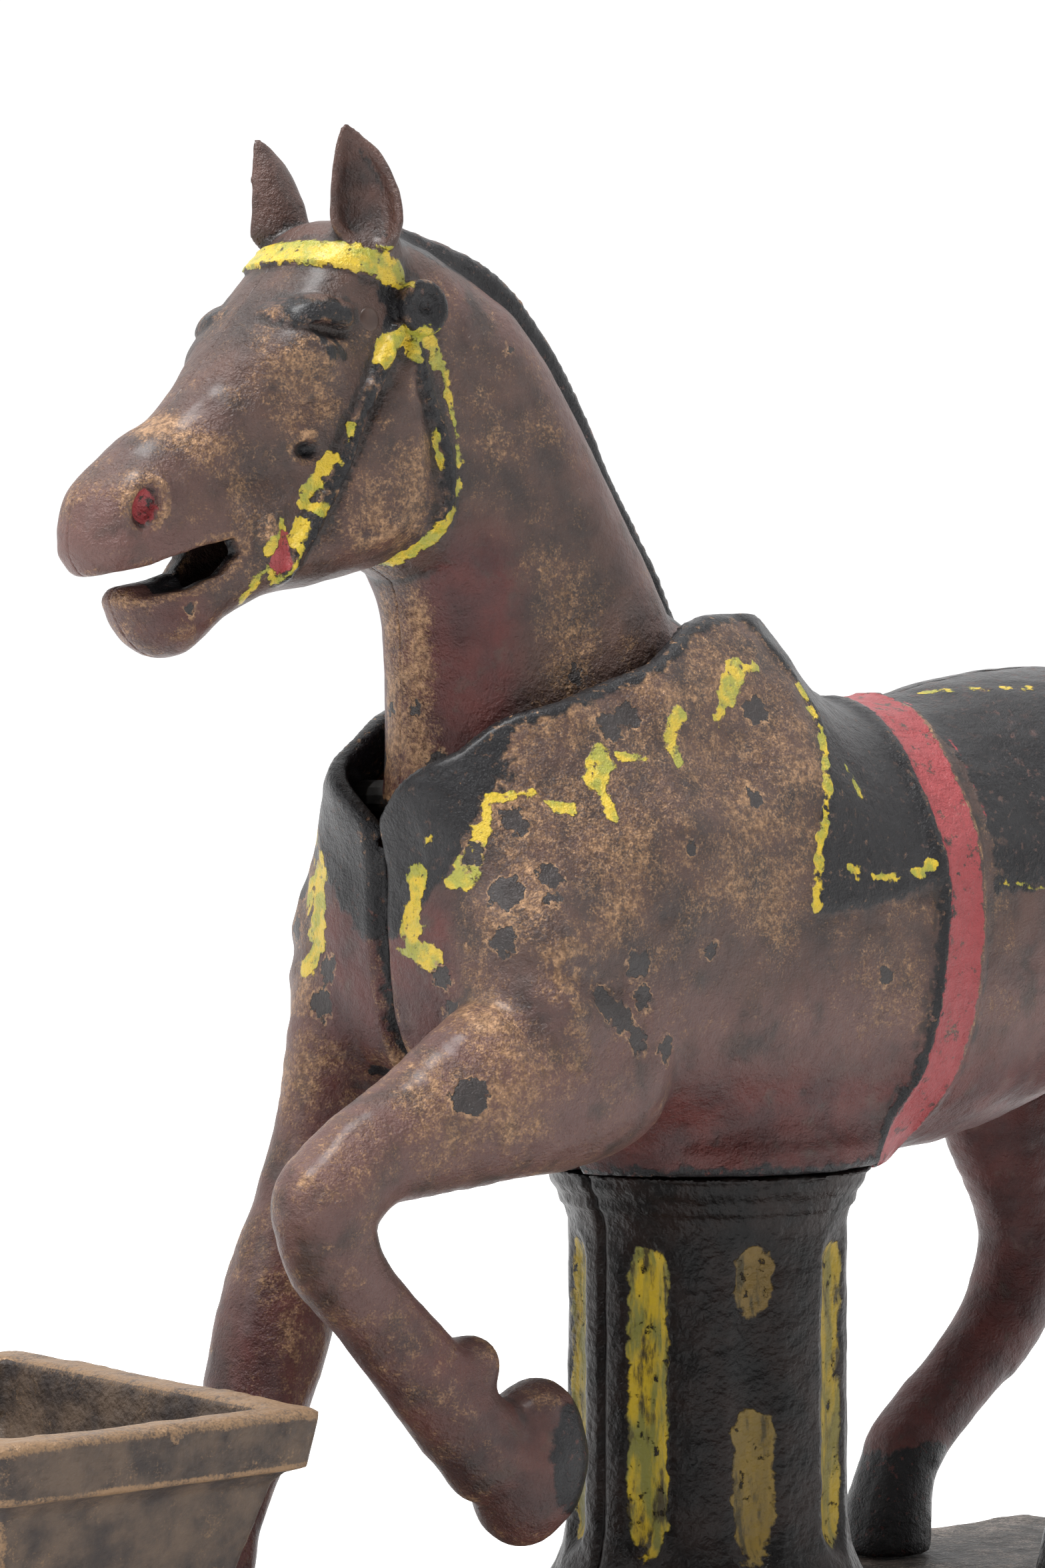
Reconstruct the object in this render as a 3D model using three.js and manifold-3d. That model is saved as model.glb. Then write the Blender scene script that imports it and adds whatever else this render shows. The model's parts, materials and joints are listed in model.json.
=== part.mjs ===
// Cast-iron mechanical coin bank: a horse on a fluted column over a hollow base, with a manger in
// front. A coin is laid in the horse's mouth. Pulling the knob at the back of the base turns a bell
// crank, which lifts a push rod inside the column: the head bows and the manger's flap opens, so the
// coin drops into the base. A spring pulls everything back.
//
// Millimetres, +Z up. The horse looks along -X and its left side is -Y. The origin is the centre of
// the base's underside.

import * as THREE from 'three';
import { mergeVertices } from 'three/addons/utils/BufferGeometryUtils.js';
import Module from 'manifold-3d';

const wasm = await Module();
wasm.setup();

// ---------------------------------------------------------------------------------------------
// Driving dimensions
// ---------------------------------------------------------------------------------------------

const FIT = 0.3;                 // gap between pieces that touch
const WALL = 3;                  // thickness of the castings

const BASE_TOP = 30;             // height of the platform that the horse stands on
const BASE_HALF_LENGTH = 94;
const BASE_HALF_WIDTH = 36;
const PLATE_TOP = 2.5;           // the base plate lies flush with the skirt's underside

const COLUMN_X = 17;
const CAPITAL_TOP = 79;          // top of the capital's rings
const COLUMN_TOP = 84;           // the drum above them reaches into the belly
const COLUMN_RADIUS = 15.2;
const COLUMN_BORE = 8;
const FLUTE_COUNT = 8;

const HALF_GAP = 0.15;           // from the centre plane to each cast half

const PIVOT = [-21.3, 118.7];    // neck pivot in the X-Z plane
const NOD_ANGLE = 50;            // degrees that the head bows
const LUG_RADIUS = 15;           // neck pivot to the push rod's pin
const LUG_START = -25;           // degrees below the horizontal at rest
const NECK_RADIUS = 37.2;        // back edge of the neck's round root
const ROD_LIFT = 2 * LUG_RADIUS * Math.sin(THREE.MathUtils.degToRad(NOD_ANGLE / 2));

const CRANK = [28, 13];          // bell crank's pivot in the X-Z plane
const CRANK_SWING = 60;          // degrees
const CRANK_FRONT_ARM = ROD_LIFT;
const CRANK_TOP_ARM = 9.5;
const PULL_TRAVEL = CRANK_TOP_ARM;
const ROD_X = 16.2;
const PULL_Z = 21.8;

const MANGER_X = -75;            // centre of the manger's foot
const MANGER_TOP = 62.5;
const FLAP_PIN = [-64.6, 24.6];
const FLAP_SWING = 50;
const LINK_Y = 12.9;

const TRAP_PIVOT = [-50, -17];
const TRAP_HOLE = [-50, 3];

// ---------------------------------------------------------------------------------------------
// Solids
// ---------------------------------------------------------------------------------------------

function solidOf(geometry) {
  const bare = new THREE.BufferGeometry();
  bare.setAttribute('position', geometry.getAttribute('position').clone());
  if (geometry.index) bare.setIndex(geometry.index.clone());
  const merged = mergeVertices(bare, 1e-4);
  const vertProperties = new Float32Array(merged.getAttribute('position').array);
  const triVerts = withoutSlivers(merged.index.array);
  return new wasm.Manifold(new wasm.Mesh({ numProp: 3, vertProperties, triVerts }));
}

function withoutSlivers(index) {
  const kept = [];
  for (let i = 0; i < index.length; i += 3) {
    const [a, b, c] = [index[i], index[i + 1], index[i + 2]];
    if (a !== b && b !== c && c !== a) kept.push(a, b, c);
  }
  return new Uint32Array(kept);
}

function geometryOf(solid) {
  const mesh = solid.getMesh();
  const geometry = new THREE.BufferGeometry();
  geometry.setAttribute('position', new THREE.BufferAttribute(new Float32Array(mesh.vertProperties), 3));
  geometry.setIndex(new THREE.BufferAttribute(new Uint32Array(mesh.triVerts), 1));
  geometry.computeVertexNormals();
  return geometry;
}

function joined(first, ...others) {
  return others.reduce((sum, solid) => sum.add(solid), first);
}

function cut(first, ...tools) {
  return tools.reduce((rest, tool) => rest.subtract(tool), first);
}

function box(low, high) {
  const size = high.map((value, i) => value - low[i]);
  const geometry = new THREE.BoxGeometry(...size);
  geometry.translate(...high.map((value, i) => (value + low[i]) / 2));
  return solidOf(geometry);
}

// A round bar between two points.
function bar(start, end, radius, sides = 16, endRadius = radius) {
  const from = new THREE.Vector3(...start);
  const along = new THREE.Vector3(...end).sub(from);
  const geometry = new THREE.CylinderGeometry(endRadius, radius, along.length(), sides);
  geometry.translate(0, along.length() / 2, 0);
  const turn = new THREE.Quaternion().setFromUnitVectors(new THREE.Vector3(0, 1, 0), along.clone().normalize());
  geometry.applyQuaternion(turn);
  geometry.translate(...start);
  return solidOf(geometry);
}

// A bar across the object, along Y, at a place in the X-Z plane.
function crossBar([x, z], yLow, yHigh, radius, sides = 16) {
  return bar([x, yLow, z], [x, yHigh, z], radius, sides);
}

// A plate in the X-Z plane with a given outline, from yLow to yHigh.
function plate(outline, yLow, yHigh) {
  const shape = new THREE.Shape(outline.map(([x, z]) => new THREE.Vector2(x, z)));
  const geometry = new THREE.ExtrudeGeometry(shape, { depth: yHigh - yLow, bevelEnabled: false });
  geometry.rotateX(Math.PI / 2);
  geometry.translate(0, yHigh, 0);
  return solidOf(geometry);
}

function lathe(profile, segments = 24) {
  const points = profile.map(([radius, height]) => new THREE.Vector2(radius, height));
  const geometry = new THREE.LatheGeometry(points, segments);
  geometry.rotateX(Math.PI / 2);
  return solidOf(geometry);
}

// A round wire along a smooth curve.
function wire(points, radius, steps, sides) {
  const path = new THREE.CatmullRomCurve3(points.map((point) => new THREE.Vector3(...point)), false, 'centripetal');
  const corners = [];
  for (let i = 0; i < sides; i++) {
    const angle = (2 * Math.PI * i) / sides;
    corners.push(new THREE.Vector2(radius * Math.cos(angle), radius * Math.sin(angle)));
  }
  const settings = { steps, extrudePath: path, curveSegments: 1, bevelEnabled: false };
  return solidOf(new THREE.ExtrudeGeometry(new THREE.Shape(corners), settings));
}

// A round bar with bends, each of them a ball.
function bentBar(points, radius, sides = 10) {
  const stretches = points.slice(1).map((point, i) => bar(points[i], point, radius, sides));
  const bends = points.slice(1, -1).map((point) => {
    const ball = new THREE.SphereGeometry(radius, sides, sides / 2);
    ball.translate(...point);
    return solidOf(ball);
  });
  return joined(...stretches, ...bends);
}

// A closed skin over rings of equally many points, capped at both ends.
function loft(rings) {
  const sides = rings[0].length;
  const positions = rings.flat().flatMap((point) => [point.x, point.y, point.z]);
  const index = [];
  for (let ring = 0; ring < rings.length - 1; ring++) {
    for (let i = 0; i < sides; i++) {
      const a = ring * sides + i;
      const b = ring * sides + (i + 1) % sides;
      index.push(a, b, b + sides, a, b + sides, a + sides);
    }
  }
  capRing(positions, index, rings[0], 0, true);
  capRing(positions, index, rings.at(-1), (rings.length - 1) * sides, false);
  if (signedVolume(positions, index) < 0) index.reverse();
  const geometry = new THREE.BufferGeometry();
  geometry.setAttribute('position', new THREE.Float32BufferAttribute(positions, 3));
  geometry.setIndex(index);
  return solidOf(geometry);
}

function capRing(positions, index, ring, first, reversed) {
  const middle = ring.reduce((sum, point) => sum.add(point), new THREE.Vector3()).divideScalar(ring.length);
  const centre = positions.length / 3;
  positions.push(middle.x, middle.y, middle.z);
  for (let i = 0; i < ring.length; i++) {
    const next = first + (i + 1) % ring.length;
    index.push(...(reversed ? [centre, next, first + i] : [centre, first + i, next]));
  }
}

function signedVolume(positions, index) {
  const corner = (i) => new THREE.Vector3().fromArray(positions, index[i] * 3);
  let volume = 0;
  for (let i = 0; i < index.length; i += 3) {
    volume += corner(i).dot(corner(i + 1).cross(corner(i + 2))) / 6;
  }
  return volume;
}

// A ring between an ellipse (fullness 2) and a rounded rectangle (higher).
function ovalRing(centre, across, along, halfAcross, halfAlong, sides, fullness = 2) {
  const shaped = (value) => Math.sign(value) * Math.abs(value) ** (2 / fullness);
  const ring = [];
  for (let i = 0; i < sides; i++) {
    const angle = (2 * Math.PI * (i + 0.5)) / sides;
    const point = centre.clone();
    point.addScaledVector(across, halfAcross * shaped(Math.cos(angle)));
    point.addScaledVector(along, halfAlong * shaped(Math.sin(angle)));
    ring.push(point);
  }
  return ring;
}

// Rings between an upper and a lower outline seen from the side: [[x, z], [x, z], half width].
function sideRings(stations, sides, inset = 0, fullness = 2.2) {
  return stations.map(([upper, lower, halfWidth]) => {
    const top = new THREE.Vector3(upper[0], 0, upper[1]);
    const bottom = new THREE.Vector3(lower[0], 0, lower[1]);
    const along = top.clone().sub(bottom);
    const half = along.length() / 2 - inset;
    const centre = top.clone().add(bottom).divideScalar(2);
    const across = new THREE.Vector3(0, 1, 0);
    return ovalRing(centre, across, along.normalize(), halfWidth - inset, half, sides, fullness);
  });
}

// A limb along [x, y, z, radius in the X-Z plane, radius along Y].
function limb(stations, sides = 10) {
  const centres = stations.map(([x, y, z]) => new THREE.Vector3(x, y, z));
  const rings = stations.map((station, i) => {
    const before = centres[Math.max(i - 1, 0)];
    const after = centres[Math.min(i + 1, centres.length - 1)];
    const direction = after.clone().sub(before).setY(0).normalize();
    const side = new THREE.Vector3(0, 1, 0);
    const forward = direction.clone().cross(side);
    return ovalRing(centres[i], side, forward, station[4], station[3], sides);
  });
  return loft(rings);
}

function polar([x, z], radius, degrees) {
  const angle = THREE.MathUtils.degToRad(degrees);
  return [x + radius * Math.cos(angle), z + radius * Math.sin(angle)];
}

// A solid of revolution about a cross bar: a closed outline of [radius, y], swept between two angles.
function swept(centre, outline, fromDegrees, toDegrees, steps) {
  const rings = [];
  for (let i = 0; i <= steps; i++) {
    const degrees = fromDegrees + ((toDegrees - fromDegrees) * i) / steps;
    rings.push(outline.map(([radius, y]) => {
      const [x, z] = polar(centre, radius, degrees);
      return new THREE.Vector3(x, y, z);
    }));
  }
  return loft(rings);
}

const REACH = 300;
const HALF_SPACE = {
  left: box([-REACH, -REACH, -REACH], [REACH, -HALF_GAP, REACH]),
  right: box([-REACH, HALF_GAP, -REACH], [REACH, REACH, REACH]),
};
const SIGN = { left: -1, right: 1 };

// ---------------------------------------------------------------------------------------------
// Base
// ---------------------------------------------------------------------------------------------

// Half length and half width of the base's outside at each height.
const BASE_STEPS = [
  [0, BASE_HALF_LENGTH, BASE_HALF_WIDTH],
  [5, BASE_HALF_LENGTH, BASE_HALF_WIDTH],
  [6.5, 93, 34.6],
  [10, 91.8, 30.6],
  [15, 90.6, 26.6],
  [20, 89.8, 23.8],
  [25, 89.2, 22],
  [26.5, 89.2, 22],
  [27.2, 90.2, 23],
  [29, 90.2, 23],
  [BASE_TOP, 89.2, 22],
];
const BASE_CORNER = 2.5;
const SCREW_BOSS = { x: 82, y: 25.5, radius: 4.4 };

function roundedRectangle(halfLength, halfWidth, corner, z) {
  const ring = [];
  const perCorner = 3;
  for (const [signX, signY, start] of [[1, 1, 0], [-1, 1, 90], [-1, -1, 180], [1, -1, 270]]) {
    for (let i = 0; i < perCorner; i++) {
      const angle = THREE.MathUtils.degToRad(start + (90 * i) / (perCorner - 1));
      const x = signX * (halfLength - corner) + corner * Math.cos(angle);
      const y = signY * (halfWidth - corner) + corner * Math.sin(angle);
      ring.push(new THREE.Vector3(x, y, z));
    }
  }
  return ring;
}

function baseShell() {
  const outside = loft(BASE_STEPS.map(([z, length, width]) => roundedRectangle(length, width, BASE_CORNER, z)));
  const inner = BASE_STEPS.filter(([z]) => z < 26);
  const rings = inner.map(([z, length, width]) => (
    roundedRectangle(length - WALL, width - WALL, BASE_CORNER / 2, z === 0 ? -1 : z)
  ));
  const last = inner.at(-1);
  rings.push(roundedRectangle(last[1] - WALL, last[2] - WALL, BASE_CORNER / 2, BASE_TOP - WALL));
  return cut(outside, loft(rings));
}

function screwPlaces() {
  const { x, y } = SCREW_BOSS;
  return [[-x, -y], [-x, y], [x, -y], [x, y]];
}

function baseBox() {
  let shell = baseShell();
  const outside = loft(BASE_STEPS.map(([z, length, width]) => (
    roundedRectangle(length - 0.5, width - 0.5, BASE_CORNER, z)
  )));
  for (const [x, y] of screwPlaces()) {
    const boss = bar([x, y, PLATE_TOP + FIT], [x, y, BASE_TOP - 1], SCREW_BOSS.radius, 12);
    shell = shell.add(boss.intersect(outside));
    shell = shell.subtract(bar([x, y, 0], [x, y, 12.3], 1.8, 10));
  }
  for (const side of [-1, 1]) {
    const low = Math.min(side * 5.4, side * 8.4);
    shell = shell.add(plate([[22, 28], [25, 8.5], [31, 8.5], [34, 28]], low, low + 3));
    const lugLow = Math.min(side * 14.2, side * 16.4);
    shell = shell.add(box([FLAP_PIN[0] - 2.6, lugLow, 22], [FLAP_PIN[0] + 2.6, lugLow + 2.2, 28]));
  }
  return cut(
    shell,
    crossBar(CRANK, -8.8, 8.8, 2.3, 12),
    crossBar(FLAP_PIN, -17, 17, 1.5, 10),
    box([MANGER_X - 7.6, -12.6, 20], [MANGER_X + 7.6, 12.6, 40]),
    bar([ROD_X, 0, 20], [ROD_X, 0, 40], 5, 16),
    bar([COLUMN_X, -12, 20], [COLUMN_X, -12, 40], 1.7, 10),
    bar([COLUMN_X, 12, 20], [COLUMN_X, 12, 40], 1.7, 10),
    bar([MANGER_X, -15, 20], [MANGER_X, -15, 40], 1.5, 10),
    bar([MANGER_X, 15, 20], [MANGER_X, 15, 40], 1.5, 10),
    bar([80, 0, PULL_Z], [100, 0, PULL_Z], 2.1, 12),
  );
}

function basePlate() {
  const length = BASE_HALF_LENGTH - WALL - FIT;
  const width = BASE_HALF_WIDTH - WALL - FIT;
  let body = loft([0, PLATE_TOP].map((z) => roundedRectangle(length, width, 1, z)));
  for (const [x, y] of screwPlaces()) {
    body = body.subtract(bar([x, y, -1], [x, y, 4], 1.8, 10));
    body = body.subtract(bar([x, y, -1], [x, y, 1.5], 3.4, 12));
  }
  body = body.subtract(bar([...TRAP_HOLE, -1], [...TRAP_HOLE, 4], 13, 28));
  body = body.subtract(bar([...TRAP_PIVOT, -1], [...TRAP_PIVOT, 4], 1.8, 10));
  return body.subtract(bar([...TRAP_PIVOT, -1], [...TRAP_PIVOT, 1.3], 3.4, 12));
}

function baseScrew([x, y]) {
  const head = bar([x, y, 0.3], [x, y, 1.4], 3, 12);
  const slot = box([x - 4, y - 0.4, -1], [x + 4, y + 0.4, 0.8]);
  return joined(cut(head, slot), bar([x, y, 1.3], [x, y, 12], 1.5, 10));
}

function coinTrap() {
  const z = PLATE_TOP + FIT;
  const disc = bar([...TRAP_HOLE, z], [...TRAP_HOLE, z + 1.4], 15.8, 32);
  const ear = bar([...TRAP_PIVOT, z], [...TRAP_PIVOT, z + 1.4], 4.6, 16);
  const neck = box([TRAP_PIVOT[0] - 4.6, TRAP_PIVOT[1], z], [TRAP_PIVOT[0] + 4.6, TRAP_PIVOT[1] + 8, z + 1.4]);
  return cut(joined(disc, ear, neck), bar([...TRAP_PIVOT, 0], [...TRAP_PIVOT, 8], 1.8, 10));
}

function trapScrew() {
  const head = bar([...TRAP_PIVOT, 0.3], [...TRAP_PIVOT, 1], 3, 12);
  const shank = bar([...TRAP_PIVOT, 0.8], [...TRAP_PIVOT, 5.6], 1.5, 10);
  const burr = bar([...TRAP_PIVOT, 4.6], [...TRAP_PIVOT, 5.8], 3.2, 12);
  const slot = box([TRAP_PIVOT[0] - 4, TRAP_PIVOT[1] - 0.4, -1], [TRAP_PIVOT[0] + 4, TRAP_PIVOT[1] + 0.4, 0.6]);
  return joined(cut(head, slot), shank, burr);
}

// ---------------------------------------------------------------------------------------------
// Manger
// ---------------------------------------------------------------------------------------------

// Front x, back x and half width of the manger's outside at each height.
const MANGER_STEPS = [
  [BASE_TOP + FIT, -85.4, -64.6, 17.2],
  [48, -88, -59.6, 21.8],
  [56.2, -89.2, -57, 24],
  [56.8, -91, -55.2, 25.6],
  [MANGER_TOP - 0.6, -92, -54.2, 26.2],
  [MANGER_TOP, -91.5, -54.7, 25.7],
];

function mangerRing(z, front, back, halfWidth, inset) {
  const middle = (front + back) / 2;
  const ring = roundedRectangle((back - front) / 2 - inset, halfWidth - inset, 1.2, z);
  return ring.map((point) => point.add(new THREE.Vector3(middle, 0, 0)));
}

function manger() {
  const outside = loft(MANGER_STEPS.map(([z, front, back, width]) => mangerRing(z, front, back, width, 0)));
  const foot = MANGER_STEPS[0];
  const inside = loft([
    mangerRing(BASE_TOP - 1, MANGER_X - 7.6, MANGER_X + 7.6, 12.6, 0),
    mangerRing(BASE_TOP + 3, MANGER_X - 7.6, MANGER_X + 7.6, 12.6, 0),
    mangerRing(BASE_TOP + 5.5, foot[1], foot[2], foot[3], 2.6),
    mangerRing(56, -89.2, -57, 24, 2.6),
    mangerRing(MANGER_TOP + 1, -91.2, -55, 25.6, 3.4),
  ]);
  return cut(
    outside,
    inside,
    bar([MANGER_X, -15, 29], [MANGER_X, -15, 34.3], 1.2, 10),
    bar([MANGER_X, 15, 29], [MANGER_X, 15, 34.3], 1.2, 10),
  );
}

function mangerScrew(y) {
  return joined(
    bar([MANGER_X, y, 25.1], [MANGER_X, y, 26.7], 2.2, 12),
    bar([MANGER_X, y, 26.5], [MANGER_X, y, 34], 0.9, 8),
  );
}

const FLAP_ARM = PULL_TRAVEL / (2 * Math.sin(THREE.MathUtils.degToRad(FLAP_SWING / 2)));

function mangerFlap() {
  const [pinX, pinZ] = FLAP_PIN;
  const low = pinZ - 0.2;
  const leaf = box([MANGER_X - 9, -12, low], [pinX, 12, low + 1.3]);
  const knuckle = crossBar(FLAP_PIN, -12, 12, 2.1, 12);
  const tip = polar(FLAP_PIN, FLAP_ARM, -90 - FLAP_SWING / 2);
  const lever = armPlate(FLAP_PIN, tip, 2, 2.6, 9.4, 11.4);
  const nearest = FLAP_ARM * Math.cos(THREE.MathUtils.degToRad(FLAP_SWING / 2));
  const slotCentre = polar(FLAP_PIN, (FLAP_ARM + nearest) / 2, -90 - FLAP_SWING / 2);
  const slot = slotAlong(slotCentre, 1.35, (FLAP_ARM - nearest) / 2 + 0.2, 90 - FLAP_SWING / 2, 9, 12);
  return cut(joined(leaf, knuckle, lever), crossBar(FLAP_PIN, -13, 13, 1.45, 10), slot);
}

// A flat arm with round ends between two places in the X-Z plane.
function armPlate(start, end, startRadius, endRadius, yLow, yHigh) {
  const dx = end[0] - start[0];
  const dz = end[1] - start[1];
  const length = Math.hypot(dx, dz);
  const nx = -dz / length;
  const nz = dx / length;
  const outline = [
    [start[0] + nx * startRadius, start[1] + nz * startRadius],
    [start[0] - nx * startRadius, start[1] - nz * startRadius],
    [end[0] - nx * endRadius, end[1] - nz * endRadius],
    [end[0] + nx * endRadius, end[1] + nz * endRadius],
  ];
  return joined(
    plate(outline, yLow, yHigh),
    crossBar(start, yLow, yHigh, startRadius, 14),
    crossBar(end, yLow, yHigh, endRadius, 14),
  );
}

// The cutter for a slotted hole: half length of its straight part, along an angle.
function slotAlong(centre, radius, halfLength, degrees, yLow, yHigh) {
  const start = polar(centre, halfLength, degrees);
  const end = polar(centre, -halfLength, degrees);
  return armPlate(start, end, radius, radius, yLow, yHigh);
}

function flapPin() {
  return crossBar(FLAP_PIN, -16.2, 16.2, 1.15, 10);
}

// ---------------------------------------------------------------------------------------------
// Column
// ---------------------------------------------------------------------------------------------

function columnHalf(side) {
  const foot = BASE_TOP + FIT;
  const profile = [
    [0, foot], [19, foot], [19, foot + 2], [17.6, foot + 3.2], [16.4, foot + 5], [COLUMN_RADIUS, foot + 8],
    [COLUMN_RADIUS, 71], [16.6, 72], [17, 73], [16.6, 74], [15.8, 74.8], [17.4, 75.8],
    [18, 77.2], [17.2, CAPITAL_TOP], [COLUMN_RADIUS, CAPITAL_TOP + 0.4], [COLUMN_RADIUS, COLUMN_TOP], [0, COLUMN_TOP],
  ];
  let column = lathe(profile, 32);
  for (let i = 0; i < FLUTE_COUNT; i++) {
    const angle = (2 * Math.PI * (i + 0.5)) / FLUTE_COUNT;
    const x = (COLUMN_RADIUS + 3.2) * Math.cos(angle);
    const y = (COLUMN_RADIUS + 3.2) * Math.sin(angle);
    column = column.subtract(bar([x, y, 40], [x, y, 69], 4.6, 12));
  }
  column = column.subtract(bar([0, 0, 0], [0, 0, 100], COLUMN_BORE, 20));
  column = column.subtract(bar([0, SIGN[side] * 12, 20], [0, SIGN[side] * 12, 39], 1.7, 10));
  return column.translate([COLUMN_X, 0, 0]).intersect(HALF_SPACE[side]);
}

function columnScrew(side) {
  const y = SIGN[side] * 12;
  return joined(
    bar([COLUMN_X, y, 24.9], [COLUMN_X, y, 26.7], 2.8, 12),
    bar([COLUMN_X, y, 26.5], [COLUMN_X, y, 38], 1.35, 10),
  );
}

// ---------------------------------------------------------------------------------------------
// Horse's body
// ---------------------------------------------------------------------------------------------

// Back line, belly line and half width along the body, front to back.
const TORSO = [
  [[-31, 120], [-29, 99.5], 9.5],
  [[-29, 126], [-27, 94], 15],
  [[-22, 131.4], [-20.5, 88.8], 17.8],
  [[-10, 136], [-10, 84.5], 19.5],
  [[2, 139.5], [2, 81.5], 20.4],
  [[13, 141], [13, 80], 20],
  [[21, 136.4], [21, 79.6], 19.8],
  [[29, 132.4], [29, 79.3], 20],
  [[40, 129.4], [40, 79.3], 20.5],
  [[51, 131.3], [51, 80.6], 20.8],
  [[62, 133], [62, 83.6], 20.4],
  [[72, 132.6], [71, 86.5], 19.4],
  [[80, 129], [79, 91], 17],
  [[86, 122], [86, 98], 12],
  [[89, 114], [89, 106], 5],
];

const LEFT_FORELEG = [
  [-8, -12, 100, 12, 8],
  [-15.7, -14.5, 94.6, 10, 7],
  [-28.6, -15, 89.6, 7, 5.4],
  [-39, -15, 85, 5.4, 4.6],
  [-45.4, -15, 80.6, 5, 4.6],
  [-46, -15, 75.2, 4.8, 4.6],
  [-40.3, -15, 67.7, 4, 3.8],
  [-33.7, -15, 61.2, 4.4, 4.3],
  [-29.4, -15, 57, 4.2, 4],
];
const LEFT_FORE_HOOF = [
  [-29.5, -15, 56.6, 4.4, 4.2],
  [-26, -15, 54.2, 5.8, 5.4],
  [-21.5, -15, 52.2, 8.2, 6.6],
  [-16.5, -15, 50.6, 8.8, 7.2],
];
const RIGHT_FORELEG = [
  [-16, 12, 100, 11, 7.5],
  [-24.6, 14, 92, 7.2, 5.6],
  [-28.4, 14, 84, 5.2, 4.6],
  [-32.4, 14, 73, 4.5, 4.2],
  [-35.6, 14, 65, 5, 4.6],
  [-38, 14, 57, 4, 3.8],
  [-41, 14, 46, 3.9, 3.7],
  [-43, 14, 40.5, 4.6, 4.4],
  [-45, 14, 36.6, 5, 5],
  [-47, 14, BASE_TOP + FIT, 6.4, 6.2],
];

function hindLeg(y, shift) {
  return limb([
    [72, y * 0.86, 100, 14, 8],
    [75 + shift, y, 88, 11, 7.4],
    [77.5 + shift, y, 76.3, 7.6, 6],
    [80.2 + shift, y, 66, 5.4, 4.8],
    [78.4 + shift, y, 57, 5.6, 4.8],
    [70.5 + shift, y, 50, 4.7, 4.1],
    [63 + shift, y, 44, 4.6, 4.4],
    [59.6 + shift, y, 39, 4.8, 4.8],
    [57.6 + shift, y, BASE_TOP + FIT, 6.6, 6.2],
  ]);
}

function tail() {
  return limb([
    [78, 0, 124, 5, 4.4],
    [84.5, 0, 125, 4.4, 4.2],
    [88.6, 0, 118, 4.4, 4.4],
    [89.6, 0, 106, 4.8, 5],
    [89.4, 0, 90, 5, 5.2],
    [88.6, 0, 76, 4.6, 4.6],
    [87.6, 0, 66, 2, 2],
  ]);
}

const LEGS = {
  left: () => joined(limb(LEFT_FORELEG), limb(LEFT_FORE_HOOF), hindLeg(-14, 4)),
  right: () => joined(limb(RIGHT_FORELEG), hindLeg(14, 0)),
};
const RIVETS = {
  front: { place: [-14, 97], headSeat: 18.4 },
  rear: { place: [63, 108], headSeat: 20.2 },
};

// The collar: the rim of the body around the neck runs straight from the withers to the breast.
const COLLAR_BACK = [17.6, 138.8];
const COLLAR_FRONT = [-34, 121.8];

// Half width of the neck's root at each distance from the pivot.
const NECK_ROOT = [[2, 7.6], [8, 8.8], [16, 9.6], [24, 9.2], [30, 7.6], [35, 4.4], [NECK_RADIUS, 1]];

function rootOutline(grow) {
  const edge = NECK_ROOT.map(([radius, half]) => [radius + (radius > 3 ? grow : 0), half + grow]);
  const mirrored = edge.map(([radius, half]) => [radius, -half]).reverse();
  return [...edge, ...mirrored];
}

// Everything that the neck passes through as it bows, with room around it.
function neckPassage() {
  const room = 1;
  const front = [[1, -9.2], [10, -10.4], [18, -10.6], [18, 10.6], [10, 10.4], [1, 9.2]];
  return joined(
    swept(PIVOT, rootOutline(room), LUG_START - 6, 100, 14),
    swept(PIVOT, front, 60, 188, 10),
    crossBar(PIVOT, -9.4, 9.4, 7.8, 20),
  );
}

function bodyHalf(side) {
  const outside = loft(sideRings(TORSO, 20));
  const cavity = loft(sideRings(TORSO.slice(1, -1), 14, WALL));
  const bosses = [
    ...Object.values(RIVETS).map(({ place: spot }) => crossBar(spot, -25, 25, 4.2, 12)),
    crossBar(PIVOT, -25, 25, 5, 14),
  ];
  const rodWay = joined(
    bar([COLUMN_X, 0, 70], [COLUMN_X, 0, 92], COLUMN_BORE, 16),
    bar([COLUMN_X, 0, 60], [COLUMN_X, 0, CAPITAL_TOP + FIT], 18.4, 24),
    bar([COLUMN_X, 0, 60], [COLUMN_X, 0, COLUMN_TOP + FIT], COLUMN_RADIUS + FIT, 24),
  );
  const aboveCollar = plate([COLLAR_FRONT, COLLAR_BACK, [17.6, 170], [-34, 170]], -30, 30);
  const shell = cut(outside, cut(cavity, ...bosses), neckPassage(), aboveCollar);
  const rivetHoles = Object.values(RIVETS).flatMap(({ place: spot, headSeat }) => [
    crossBar(spot, -headSeat - 1, headSeat + 1, 1.8, 10),
    crossBar(spot, SIGN[side] < 0 ? -30 : headSeat, SIGN[side] < 0 ? -headSeat : 30, 3, 12),
  ]);
  const legs = LEGS[side]().subtract(box([-REACH, -REACH, 0], [REACH, REACH, BASE_TOP + FIT]));
  const whole = cut(shell.add(tail()), rodWay, crossBar(PIVOT, -12.6, 12.6, 2.3, 12));
  return cut(joined(whole, legs).intersect(HALF_SPACE[side]), ...rivetHoles, rodWay);
}

function rivet(place, halfLength, shankRadius, headRadius, headHeight) {
  const ends = [-1, 1].map((sign) => {
    const start = [place[0], sign * halfLength, place[1]];
    const end = [place[0], sign * (halfLength + headHeight), place[1]];
    return bar(start, end, headRadius, 12, headRadius * 0.6);
  });
  return joined(crossBar(place, -halfLength - 0.1, halfLength + 0.1, shankRadius, 10), ...ends);
}

// ---------------------------------------------------------------------------------------------
// Horse's head and neck
// ---------------------------------------------------------------------------------------------

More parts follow.
